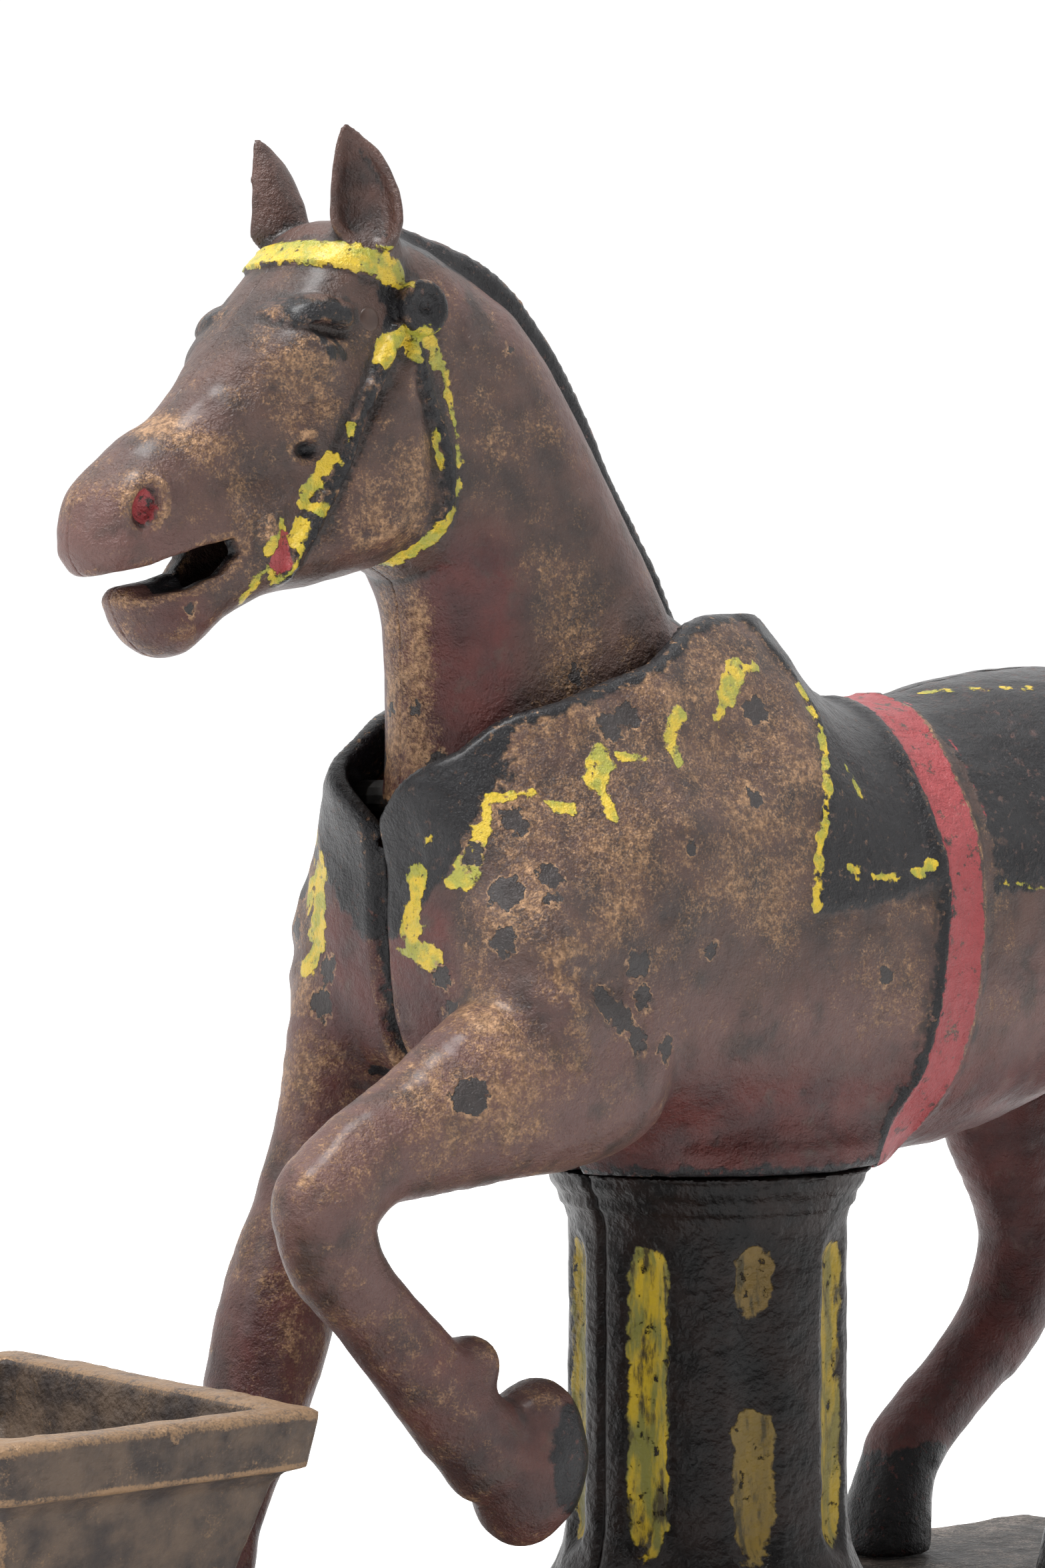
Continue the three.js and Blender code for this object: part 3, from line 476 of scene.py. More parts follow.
HEAD_WIDTHS = [
    (-18, 112, 8.6), (0, 116, 9.2), (10, 120, 7), (-20, 124, 8.8), (0, 130, 9.6), (-18, 138, 8.8),
    (-4, 146, 8.8), (-18, 152, 8.4), (-10, 160, 7.8), (-22, 164, 7.8), (-26, 173, 6.6), (-36, 171, 8.2),
    (-40, 163, 8.8), (-46, 164.5, 8.8), (-34, 152, 8.8), (-32, 145, 8.4), (-45, 157, 7.4),
    (-43, 147, 7.4), (-50, 150, 5.8), (-51, 157, 5.2), (-57, 149, 5.5), (-61, 147, 6), (-64, 143, 5),
    (-53, 138, 5), (-58, 136, 4.3), (-46, 142, 6.8),
]
HEAD_ROUNDINGS = [
    (-18, 112, 8), (0, 125, 10), (-24, 130, 10), (-24, 122, 10), (-4, 146, 9), (-18, 152, 7),
    (-10, 165, 8), (-36, 172, 5), (-46, 165, 2.6), (-42, 169, 4), (-34, 150, 5), (-34, 143, 4),
    (-50, 155, 5.5), (-57, 150, 5), (-64, 145, 5.5), (-56, 136, 4), (-44, 142, 4),
]

CHEEK_STRAP = spline([
    (-32, 165.6), (-34.9, 160.9), (-37, 157), (-39, 152.3), (-40.8, 148.4), (-42.4, 145.2),
    (-43.7, 142.9), (-44.4, 140.8),
])
THROAT_LATCH = spline([
    (-29.8, 165.4), (-29, 162), (-27.4, 157.4), (-25.9, 152.8), (-25.8, 148.8), (-26.6, 146.8),
])
BROWBAND = spline([
    (-46, 174.2), (-42.5, 173.8), (-39.9, 173.3), (-37.4, 172.7), (-34.4, 172.1), (-32, 171.2),
])
CHEEK_PLATE = closed_spline([
    (-30, 164), (-32.9, 160.7), (-36.4, 157), (-38.7, 153.4), (-40, 150.4), (-40.4, 146.8),
    (-38.8, 143.4), (-35.8, 142.3), (-32.6, 143.6), (-29.6, 146.6), (-28, 150.5), (-27.7, 154.8),
    (-28.5, 159.4),
])
BROW = spline([(-44.4, 166.6), (-43, 167.1), (-41, 167.2), (-39, 166.8)])
FACE_CREST = spline([(-38.6, 159.4), (-41, 156.6), (-42.8, 154.6)])
MOUTH = np.array([
    (-49.4, 143.2), (-50.2, 144.6), (-53.2, 143.8), (-56.2, 142.9), (-59.1, 141.8), (-62.4, 141),
    (-64, 140.3), (-72, 140.2), (-72, 136), (-62.4, 138.2), (-58.6, 138.9), (-54.4, 139.7),
    (-51.4, 141),
])
EYE = (-41.5, 162.8)
NOSTRIL = (-60.4, 147.3)
ROSETTE = (-29.3, 168)

HEAD_BUMPS = [
    # height, centre, radii, turn in degrees
    (-1.1, (-41, 165.1), (3.6, 1.2), -4),         # fold under the brow
    (1.5, (-42.6, 162.6), (5.6, 4.6), 0),         # eye
    (0.35, EYE, (1.7, 1.5), 0),
    (-0.5, (-47.4, 159.6), (3.4, 4.2), -40),      # hollows of the face
    (-1.3, (-42.6, 153.4), (1.8, 1.3), 0),
    (-0.9, (-47.5, 150), (5.5, 3.8), 20),
    (1.1, (-60.2, 148.4), (4.4, 4.2), 0),         # nostril and its swelling
    (-2.6, NOSTRIL, (2, 2.9), -15),
    (0.5, (-63.2, 142.8), (2.6, 1.8), 0),         # upper lip
    (0.9, (-46.6, 145), (1.8, 2.8), 0),           # cheek of the bit
    (0.5, (-56.6, 135.4), (4.2, 2.2), 0),         # lower lip
]
LOWER_LIP = [(-59.6, 0, 138.4, 1.5, 1.7), (-55, 0, 139.4, 1.5, 1.7), (-50, 0, 141.3, 1.6, 1.6)]
HEAD_BOSSES = [(LUG_PIN, 3.9), (HEAD_RIVET, 3.2), (NECK_RIVET, 3.2), ((PIVOT_X, 0, PIVOT_Z), 7)]
HOLLOW_FRONT = -54     # the face in front of this is solid
ROOT_OPENING = np.array([(-13, 90), (-11, 113), (8.6, 106), (14, 90)])
ROOT_OPENING_HALF_WIDTH = 5.4
# A slot round the push rod, as wide as it needs while the head bows.
ROD_ROOM = np.array([(-17.5, 90), (-17.5, 110.5), (-13.4, 113.5), (-13.4, 119), (0.6, 119), (4, 90)])
ROD_ROOM_HALF_WIDTH = 2


def root_arc():
    """The neck's hidden back edge, from the collar down round the pivot."""
    return [
        (PIVOT_X + NECK_ARC * math.cos(angle), PIVOT_Z + NECK_ARC * math.sin(angle))
        for angle in np.radians([-27, -12, 3, 18, 30])
    ]


HEAD_OUTLINE = np.vstack([
    spline(FACE_TOP),
    spline(JAW),
    spline(NECK_FRONT),
    NECK_ROOT,
    root_arc(),
    spline(NECK_BACK),
])


def neck_relief(x, z):
    """Depth inside the outline, half width and rounding of the head and neck at places of the side view."""
    depth = depth_in(x, z, HEAD_OUTLINE)
    width = spread(x, z, HEAD_WIDTHS, 5.0)
    rounding = spread(x, z, HEAD_ROUNDINGS, 6.0)
    return depth, width, rounding


def rounded_width(depth, width, rounding):
    """Half width where the surface is, so far inside the outline."""
    edge = np.clip(depth, 0, rounding) / rounding
    return width * np.sqrt(1 - (1 - edge) ** 2)


def neck_half_width(x, z):
    """From the centre plane out to the plain surface of the head and neck."""
    return rounded_width(*neck_relief(x, z))


def mane_width(x, z):
    """Half width of the mane's roped ridge; below zero outside it."""
    line = spline(MANE, 10)
    along = np.concatenate([[0], np.cumsum(np.hypot(*np.diff(line, axis=0).T))])
    nearest = np.full(np.broadcast_shapes(x.shape, z.shape), FAR, np.float32)
    reached = np.zeros_like(nearest)
    for place, travelled in zip(line, along):
        away = np.hypot(x - place[0], z - place[1])
        reached = np.where(away < nearest, travelled, reached)
        nearest = np.minimum(nearest, away)
    radius = 1.75 + 0.16 * np.abs(np.sin(np.pi * reached / 1.3))
    return radius - to_line(x, z, line)


def head_heights(x, z, grain):
    """Raised and sunk features on each side of the head."""
    heights = 0.9 * smooth_step(depth_in(x, z, CHEEK_PLATE), -0.2, 2.6) + bumps(x, z, HEAD_BUMPS)
    heights += 0.9 * ridge(to_line(x, z, BROW), 1.4)
    heights += 0.45 * smooth_step(-to_line(x, z, FACE_CREST), -3.2, 0)
    heights += (0.95 + 0.35 * grain) * ridge(to_line(x, z, CHEEK_STRAP), 0.95)
    heights += (0.75 + 0.35 * grain) * ridge(to_line(x, z, THROAT_LATCH), 1.0)
    return heights


ROSETTE_RADIUS = 2.85
ROSETTE_FACE = 9.5     # how far out it stands
ROSETTE_BACK = 5


def rosette():
    """A disc on the bridle, with a rim and a dimple, at the top of the cheek strap."""

    def distance(x, y, z):
        radius = np.hypot(x - ROSETTE[0], z - ROSETTE[1])
        face = ROSETTE_FACE + 0.3 * ridge(radius - 2.3, 0.5) - 0.5 * smooth_step(-radius, -1.0, -0.3)
        return smooth_max(radius - ROSETTE_RADIUS, np.maximum(-y - face, y + ROSETTE_BACK), 0.4)

    low = (ROSETTE[0] - 3, -10.2, ROSETTE[1] - 3)
    return distance, low, (ROSETTE[0] + 3, -ROSETTE_BACK, ROSETTE[1] + 3)


EAR = np.array([-35.5, -7.7, 179.2])
EAR_REACH = 8
EAR_ROOT = ball(EAR + [2.2, 2.2, -5.2], (3.2, 2.8, 3))
EAR_OUT = np.array([-0.62, -0.78, 0.0])
EAR_ACROSS = np.array([0.78, -0.62, 0.0])
EAR_UP = np.array([0.0, 0.0, 1.0])
EAR_OUTLINE = closed_spline([
    (-2.1, 6.9), (-0.9, 6.1), (1.7, 3.6), (3.4, -0.2), (3.7, -3.1), (2.7, -5.7), (0.4, -5.7),
    (-2.2, -4.8), (-3.4, -3.0), (-3.4, 1.4), (-2.9, 5.2),
])


def ear():
    """A cupped leaf that opens outwards and forwards, thicker low down its back."""

    def distance(x, y, z):
        offsets = [x - EAR[0], y - EAR[1], z - EAR[2]]
        out, across, up = (
            sum(part * offset for part, offset in zip(direction, offsets))
            for direction in (EAR_OUT, EAR_ACROSS, EAR_UP)
        )
        leaf = -depth_in(across, up, EAR_OUTLINE)
        cup = -1.2 + 0.15 * across ** 2 + 0.03 * (up + 1) ** 2
        off_cup = out - np.minimum(cup, 1.2)
        taper = np.clip((9 - up) / 6, 0.45, 1)
        front = off_cup - taper * (0.7 + 0.55 * smooth_step(leaf, -1.5, -0.6))
        thick = np.clip((5 - up) / 9, 0, 1) * np.clip(1 - across ** 2 / 14, 0, 1)
        back = -off_cup - 0.7 * taper - 2.2 * thick
        return smooth_max(leaf, np.maximum(front, back), 0.9)

    return distance, EAR - EAR_REACH, EAR + EAR_REACH


def head_half():
    """One side of the head and neck, with its ear, bridle and mouth."""
    casting = Casting((-69.5, -13, 98), (18.5, 0, 188), HEAD_STEP)
    x, z = casting.side_view()
    y = casting.grid()[1]
    depth, width, rounding = neck_relief(x, z)
    casting.field = half_relief(y, depth, width, rounding)
    mane = mane_width(x, z)
    ridge_field = half_relief(y, mane, np.full_like(depth, 1.7), np.full_like(depth, 1.5))
    casting.field = smooth_min(casting.field, ridge_field, 0.8)
    grain = lattice_noise([casting.axes[0], casting.axes[2], casting.axes[0][:1]], 0.55, 5)[:, :, 0]
    casting.field -= head_heights(x, z, grain)[:, None, :] * smooth_step(np.abs(y), 2.2, 5)
    casting.lift((0.55 + 0.15 * grain) * smooth_step(-to_line(x, z, BROWBAND), -1.55, -1.15))
    casting.join(EAR_ROOT, 1.6)
    casting.join(ear(), 0.8)
    casting.join(rosette(), 0.3)
    casting.field = smooth_max(casting.field, depth_in(x, z, MOUTH)[:, None, :], 0.7)
    casting.join(limb(LOWER_LIP), 0.6)
    casting.roughen(0.11, 2.8, 11)
    casting.roughen(0.045, 1.1, 12)
    casting.field = smooth_max(casting.field, -head_hollow(casting, depth, width, rounding), 0.4)
    slot = np.minimum(depth_in(x, z, ROD_ROOM)[:, None, :], ROD_ROOM_HALF_WIDTH - np.abs(y))
    casting.field = np.maximum(casting.field, slot)
    return casting


def head_hollow(casting, depth, width, rounding):
    """The space in the shell, open below, without the solid face and the bosses for the pins."""
    x, z = casting.side_view()
    y = casting.grid()[1]
    rounding = np.maximum(rounding - HEAD_WALL, 1)
    hollow = half_relief(y, depth - HEAD_WALL, width - HEAD_WALL, rounding)
    opening = np.maximum(-depth_in(x, z, ROOT_OPENING)[:, None, :], np.abs(y) - ROOT_OPENING_HALF_WIDTH)
    hollow = np.minimum(hollow, opening)
    hollow = np.maximum(hollow, HOLLOW_FRONT - casting.grid()[0])
    for place, radius in HEAD_BOSSES:
        hollow = casting.spare(hollow, cross_bar(place, radius, 30))
    return hollow


def rivet_casting():
    """The upper rivet of the head, peened flat at both ends."""
    x0, z0 = HEAD_RIVET[0], HEAD_RIVET[2]
    casting = Casting((x0 - 2, -11, z0 - 2), (x0 + 2, 11, z0 + 2), 0.16)
    x, y, z = casting.grid()
    radius = np.hypot(x - x0, z - z0)
    reach = float(neck_half_width(np.array([x0]), np.array([z0]))[0]) + 0.2
    casting.field = smooth_max(radius - 1.3, np.abs(y) - reach + 0.08 * radius ** 2, 0.3)
    return casting


# --------------------------------------------------------------------------------------------
# Body
# --------------------------------------------------------------------------------------------

BREAST = [
    (-29.4, 117), (-28.2, 112), (-28, 105.4), (-27.6, 99.8), (-26.6, 95.6), (-24.4, 91.4),
    (-20.4, 88.2),
]
BELLY = [
    (-12, 84.4), (-2, 81.6), (10, 80), (26, 79), (40.9, 79), (51.3, 80.4), (62.1, 83.4), (70, 86.6),
    (78, 91),
]
RUMP = [(84, 97), (88, 105), (89.4, 114), (87.4, 122), (82.6, 128), (76.6, 131.8)]
BACK = [
    (69.5, 133.1), (59.8, 132.7), (51.3, 131.4), (44.9, 129.9), (39.8, 129.3), (34.6, 129),
    (30.4, 129.2),
]
WITHERS = [
    (27, 130.6), (23.6, 133), (20.4, 136.6), (15, 142), (2, 144), (-12, 142), (-24, 135),
    (-29.4, 126.4), (-30.6, 121),
]
BODY_OUTLINE = closed_spline(BREAST + BELLY + RUMP + BACK + WITHERS)

BODY_WIDTHS = [
    (-27, 125, 4), (-26, 121, 9), (-25, 116.5, 14.4), (-25, 112.7, 19.8), (-25, 107, 23),
    (-25, 100, 23.4), (-24, 94, 22.6), (-20, 119.5, 17.4), (-14, 128, 14.4), (-12, 112, 20),
    (-10, 100, 20.4), (-2, 88, 19), (2, 130, 16.4), (4, 110, 20.4), (10, 90, 20.4), (20, 120, 19.6),
    (24, 100, 20.6), (40, 105, 20.4), (54, 105, 20.8), (66, 112, 20.6), (78, 112, 18), (86, 112, 13),
]
BODY_ROUNDINGS = [
    (-26, 105, 5), (-24, 92, 7), (-26, 118, 6), (-12, 110, 14), (-6, 90, 15), (2, 132, 20),
    (10, 110, 20), (10, 84, 18), (30, 105, 21), (50, 105, 21), (66, 108, 19), (78, 112, 16),
    (86, 112, 12), (30, 128, 21), (30, 82, 19),
]
COLLAR_RIM = np.array([
    (-34, 123.6), (-29, 124), (-27, 124.6), (-24, 125.8), (-20, 127.3), (-11.6, 129.7), (-2.7, 132.8),
    (4, 137), (7, 138), (17, 138.6), (18.6, 160), (200, 160),
])
NOTCH_BOTTOM = 115.9   # of the V in the breast
NOTCH_RISE = 0.9       # for each millimetre from the centre plane
NOTCH_FRONT = -25      # behind this its bottom rises too

GIRTH_FRONT = spline([
    (36, 134), (34.2, 129), (32.4, 123.5), (32.2, 115.1), (32.6, 107.6), (31.3, 96.7), (30, 87.4),
    (27.4, 80), (26.6, 76),
])
GIRTH_BACK = spline([
    (42.6, 134), (41, 129), (38.6, 122.6), (38.4, 113.3), (38.6, 104.9), (37.4, 94.8),
    (36.1, 84.4), (35.4, 76),
])
GIRTH = np.vstack([GIRTH_FRONT, GIRTH_BACK[::-1]])
CLOTH_FRONT = spline([(15, 134), (17.6, 130), (18.2, 126), (16.6, 120), (14.8, 113.6), (13.6, 107)])
CLOTH_BOTTOM = spline([(13.6, 107), (18, 107), (24, 107.8), (32.6, 109.8)])
CLOTH = np.vstack([CLOTH_FRONT, CLOTH_BOTTOM, [(32.4, 123.5), (34.2, 129), (36, 142), (9, 142)]])

LEFT_FORELEG = [
    (-11.6, -12.8, 91.8, 9.8, 0.86), (-17, -14.2, 91, 9.8, 0.76), (-25, -15, 89.9, 9.1, 0.76),
    (-34.5, -15, 86.5, 6.6, 0.8), (-41.4, -15, 84, 5.4, 0.85), (-45.9, -15, 79.8, 5.4, 0.88),
    (-45.2, -15, 74.8, 4.8, 0.88), (-41.4, -15, 70.2, 4.2, 0.9), (-37, -15, 65.6, 4.4, 0.9),
    (-32.6, -15, 61, 4.8, 0.92), (-29.6, -15, 57.4, 4.7, 0.95), (-26, -15, 54, 5, 0.92),
]
KNEE_CAP = ball((-48.6, -15.4, 80.6), (2.9, 3.6, 3.6))
FETLOCK_TUFT = ball((-28.4, -15, 62.8), (3.3, 3, 3.1))
LEFT_FORE_HOOF = ball((-20.7, -15, 52.4), (6.2, 5.6, 8.5), -12)
RIGHT_FORELEG = [
    (-13, -11.6, 102, 11.2, 0.75), (-19.4, -13.4, 95, 8.4, 0.82), (-23.6, -13.6, 86, 5.8, 0.92),
    (-27, -13.8, 78, 4.9, 0.95), (-29.6, -14, 70.5, 5.3, 0.98), (-31, -14, 64, 6.1, 1),
    (-33, -14, 57.4, 5.6, 1), (-36.8, -14, 47, 4.3, 0.95), (-39.4, -14, 41, 4.9, 0.95),
]
RIGHT_FORE_HOOF = [(-39.4, -14, 41, 4.6, 1), (-41.6, -14, 36, 5.6, 1), (-43.2, -14, 31.5, 6.8, 0.95)]


def hind_leg(shift):
    return [
        (70, -10, 104, 16, 0.62), (74 + shift, -12.6, 92, 12.4, 0.62),
        (77 + shift, -13.6, 80, 8.6, 0.72), (79.8 + shift, -14, 69.6, 5.9, 0.85),
        (80.4 + shift, -14, 63.4, 5.7, 0.88), (77 + shift, -14, 56, 5.4, 0.88),
        (70.5 + shift, -14, 50, 4.6, 0.9), (64.6 + shift, -14, 45.6, 4.5, 0.95),
        (61 + shift, -14, 42.2, 4.7, 0.95),
    ]


def hind_hoof(shift):
    return [
        (61 + shift, -14, 42.2, 4.2, 1), (58.6 + shift, -14, 37, 4.8, 1),
        (57.4 + shift, -14, 31.5, 5.4, 1),
    ]


SOCKET_PROFILE = np.array([
    (0, CAPITAL_TOP + 0.3), (18.1, CAPITAL_TOP + 0.3), (18.6, 79.6), (18.3, 81.6), (16, 83.4), (0, 84),
])
HOOF_BOTTOM = BASE_TOP + 0.3
TAIL = [
    (76, 0, 126, 5, 0.9), (84.5, 0, 125.6, 4.6, 0.95), (89, 0, 118, 4.6, 1), (90, 0, 106, 5, 1),
    (89.6, 0, 90, 5.4, 1), (88.6, 0, 76, 5, 1), (87, 0, 64, 2.4, 1),
]
BODY_BUMPS = [
    # height, centre, radii, turn in degrees
    (1.0, (-6, 113), (15, 19), -20),          # shoulder
    (-1.3, (-18, 101), (11, 3.4), -14),       # fold above the foreleg
    (0.8, (66, 112), (16, 16), 0),            # haunch
    (-0.7, (52, 92), (9, 8), 0),              # flank
]
SOCKET = upright(COLUMN_AXIS, 20.5, 60, 90)   # left solid round the top of the column
BODY_SEAM = 1.2        # how deep the groove between the halves is at the breast


def body_heights(x, z):
    """Muscles, harness edges and folds on each side of the body."""
    heights = bumps(x, z, BODY_BUMPS)
    heights += 0.45 * smooth_step(depth_in(x, z, GIRTH), -0.4, 0.5)
    heights += 0.4 * ridge(to_line(x, z, GIRTH_FRONT), 0.9)
    heights += 0.3 * ridge(to_line(x, z, GIRTH_BACK), 0.8)
    heights += 0.4 * smooth_step(depth_in(x, z, CLOTH), -0.3, 0.5)
    return heights


def neck_passage(x, z):
    """Half width of the space that the neck sweeps as the head bows; below zero outside it."""
    swept = np.full(np.broadcast_shapes(x.shape, z.shape), -FAR, np.float32)
    for angle in np.linspace(-0.02, NOD + 0.02, 12):
        c, s = math.cos(angle), math.sin(angle)
        dx, dz = x - PIVOT_X, z - PIVOT_Z
        # A bowed head at this angle puts here what is at the turned-back place at rest.
        depth, width, rounding = neck_relief(PIVOT_X + c * dx - s * dz, PIVOT_Z + s * dx + c * dz)
        half = rounded_width(depth + CLEARANCE, width + CLEARANCE, rounding)
        swept = np.maximum(swept, np.where(depth > -CLEARANCE, half, depth))
    return swept


def body_half(legs, seed):
    """One side of the body with its legs, and half of the tail."""
    casting = Casting((-55, -25, 29), (97, 0, 143), BODY_STEP)
    x, z = casting.side_view()
    x3, y, z3 = casting.grid()
    depth = depth_in(x, z, BODY_OUTLINE)
    width = spread(x, z, BODY_WIDTHS, 5.5)
    rounding = spread(x, z, BODY_ROUNDINGS, 7.0)
    casting.field = half_relief(y, depth, width, rounding)
    hollow = half_relief(y, depth - BODY_WALL, width - BODY_WALL, np.maximum(rounding - BODY_WALL, 2))
    casting.lift(body_heights(x, z))
    casting.join(limb(TAIL), 2.5)
    casting.join(revolved(SOCKET_PROFILE), 6)
    for shape, blend in legs:
        casting.join(shape, blend)
    casting.roughen(0.16, 3.4, seed)
    casting.roughen(0.08, 1.6, seed + 1)
    seam = np.clip(1.3 - np.abs(y) / 1.1, 0, 1) * (x3 < 0)
    casting.field += BODY_SEAM * seam.astype(np.float32)
    hollow = casting.spare(hollow, SOCKET)
    for place in BODY_RIVETS:
        hollow = casting.spare(hollow, cross_bar(place, 4.2, 30))
    casting.field = smooth_max(casting.field, -hollow, 0.4)
    passage = neck_passage(x, z)[:, None, :]
    casting.field = smooth_max(casting.field, passage - np.abs(y), 0.5)
    above_rim = 0.94 * (z3 - np.interp(x[:, 0], *COLLAR_RIM.T)[:, None, None])
    behind = np.maximum(x3 - NOTCH_FRONT, 0)
    notch = 0.7 * (z3 - NOTCH_BOTTOM - NOTCH_RISE * np.abs(y) - 0.9 * behind)
    casting.field = smooth_max(casting.field, smooth_max(above_rim, notch, 3), 0.9)
    casting.field = smooth_max(casting.field, HOOF_BOTTOM - z3, 0.3)
    casting.cut(upright(COLUMN_AXIS, COLUMN_BORE, 70, 92))
    casting.cut(upright(COLUMN_AXIS, 18.4, 60, CAPITAL_TOP + 0.3))
    casting.cut(upright(COLUMN_AXIS, 15.5, 60, COLUMN_TOP + 0.3))
    return casting


# --------------------------------------------------------------------------------------------
# Column, manger, base and knob
# --------------------------------------------------------------------------------------------

COLUMN_BORE = 8
COLUMN_FOOT = BASE_TOP + 0.3
COLUMN_PROFILE = np.array([
    (COLUMN_BORE, COLUMN_FOOT), (19.3, COLUMN_FOOT), (19.6, 31.4), (18.9, 32.8), (17.6, 33.9),
    (16.6, 35.6), (15.7, 37.8), (15.2, 41), (15.05, 60), (15.1, 73), (15.5, 74.6), (16.1, 75.2),
    (16.2, 76.2), (16.5, 76.5), (17.1, 77.4), (17.2, 78.3), (18, CAPITAL_TOP),
    (15.2, CAPITAL_TOP + 0.2), (15.2, COLUMN_TOP), (COLUMN_BORE, COLUMN_TOP),
])
FLUTE_ANGLES = [22.5 + 45 * i for i in range(8)]
FLUTE_BOTTOM, FLUTE_TOP = 38.4, 71.8
FLUTE_RADIUS = 3.6
FLUTE_CENTRE = 17.5    # from the column's axis


def flute(angle):
    """A groove with round ends."""
    x = COLUMN_X + FLUTE_CENTRE * math.cos(math.radians(angle))
    y = FLUTE_CENTRE * math.sin(math.radians(angle))
    ends = [FLUTE_BOTTOM + FLUTE_RADIUS - 0.9, FLUTE_TOP - FLUTE_RADIUS + 0.9]
    return limb([(x, y, z, FLUTE_RADIUS, 1) for z in ends], 1)


def column_half():
    """Half of the fluted column with its capital."""
    casting = Casting((COLUMN_X - 21, -21, BASE_TOP - 1), (COLUMN_X + 21, 0, COLUMN_TOP + 1.5), COLUMN_STEP)
    casting.join(revolved(COLUMN_PROFILE))
    for angle in FLUTE_ANGLES:
        casting.cut(flute(angle), 0.9)
    casting.field += 0.5 * np.clip(1 - np.abs(casting.grid()[1]) / 0.9, 0, 1)
    casting.roughen(0.1, 2.4, 41)
    casting.roughen(0.05, 1.1, 42)
    casting.cut(upright(COLUMN_AXIS, COLUMN_BORE, BASE_TOP - 2, COLUMN_TOP + 2))
    return casting


def frustum(steps, corner=1.2):
    """A box whose sides change with height, from (z, front x, back x, half width)."""
    table = np.array(steps, float)

    def distance(x, y, z):
        front, back, half = (np.interp(z[0, 0], table[:, 0], table[:, i])[None, None, :] for i in (1, 2, 3))
        across = np.abs(x - (front + back) / 2) - (back - front) / 2 + corner
        aside = np.abs(y) - half + corner
        outer = np.hypot(np.maximum(across, 0), np.maximum(aside, 0))
        flat = outer + np.minimum(np.maximum(across, aside), 0) - corner
        return smooth_max(flat, np.maximum(table[0, 0] - z, z - table[-1, 0]), 0.8)

    low = (table[:, 1].min(), -table[:, 3].max(), table[0, 0])
    return distance, low, (table[:, 2].max(), table[:, 3].max(), table[-1, 0])


MANGER_FOOT = BASE_TOP + 0.3
MANGER_RIM = high_of("manger")[2]
MANGER_STEPS = [
    (MANGER_FOOT, -85.4, -64.6, 17.2), (48, -88, -59.6, 21.8), (56.4, -89.2, -57, 24),
    (57, -91, -55.2, 25.6), (MANGER_RIM - 0.5, -92, -54.2, 26.2), (MANGER_RIM, -91.6, -54.6, 25.8),
]
MANGER_INSIDE = [
    (BASE_TOP - 1, -82.6, -67.4, 12.6), (BASE_TOP + 3, -82.6, -67.4, 12.6),
    (BASE_TOP + 5.5, -82.8, -67.2, 14.6), (56, -86.6, -59.6, 21.4),
    (MANGER_RIM + 2, -87.8, -58.4, 22.2),
]
MANGER_SCREWS = [middle_of("manger_screw_left"), middle_of("manger_screw_right")]


def manger_panels(x, y, z):
    """How deep the sunk panels are on the four sides."""
    rise = (z - MANGER_FOOT) / (56.4 - MANGER_FOOT)
    long_edge = np.minimum(x + 85.4 + 3 * rise, 5.4 * rise - 59.2 - x)
    cross_edge = 14 + 6.6 * rise - np.abs(y)
    height_edge = np.minimum(z - 35.5, 56.2 - z)
    on_side = np.minimum(long_edge, height_edge) * (np.abs(y) > 15)
    on_end = np.minimum(cross_edge, height_edge) * (np.abs(x + 74.5) > 9.6)
    return 0.55 * smooth_step(np.maximum(on_side, on_end), 0, 0.9)


def manger_casting():
    """The trough, open down to the hole over the flap."""
    casting = Casting((-94, -28, BASE_TOP - 0.5), (-52, 28, MANGER_RIM + 1.5), MANGER_STEP)
    casting.join(frustum(MANGER_STEPS, corner=2.2))
    casting.field += manger_panels(*casting.grid()).astype(np.float32)
    casting.roughen(0.12, 3.2, 51)
    casting.roughen(0.06, 1.4, 52)
    casting.cut(frustum(MANGER_INSIDE), 0.9)
    for place in MANGER_SCREWS:
        casting.cut(upright(place, 1.2, BASE_TOP - 1, MANGER_FOOT + 4))
    return casting


BASE_STEPS = [
    (0, -94, 94, 36), (4.4, -94, 94, 36), (5.4, -93.4, 93.4, 35.2), (6.4, -93, 93, 34.6),
    (8, -92.4, 92.4, 32.6), (10, -91.8, 91.8, 30.6), (15, -90.6, 90.6, 26.6), (20, -89.8, 89.8, 23.8),
    (25.6, -89.2, 89.2, 22), (26.4, -90.2, 90.2, 23), (BASE_TOP - 0.7, -90.2, 90.2, 23),
    (BASE_TOP, -89.6, 89.6, 22.4),
]
BASE_INSIDE = [
    (-1, -91, 91, 33), (5, -91, 91, 33), (10, -88.8, 88.8, 27.6), (20, -86.8, 86.8, 20.8),
    (BASE_TOP - 3, -86.2, 86.2, 19),
]
BASE_SCREWS = [middle_of(f"base_screw_{i}") for i in (1, 2, 3, 4)]
COLUMN_SCREWS = [middle_of("column_screw_left"), middle_of("column_screw_right")]
BASE_LUGS = [
    # x of the pin, half the lug's length, its near and far side, its bottom
    (middle_of("crank_pin")[0], 3.6, 5.4, 8.4, 8.5),
    (middle_of("flap_pin")[0], 2.6, 14.2, 16.4, 22),
]
PULL_Z = middle_of("pull_knob")[2]
ROD_X = middle_of("push_rod")[0]
ROD_HOLE = 5
DECK_LOW, DECK_HIGH = 20, BASE_TOP + 2   # holes through the base's top reach from one to the other


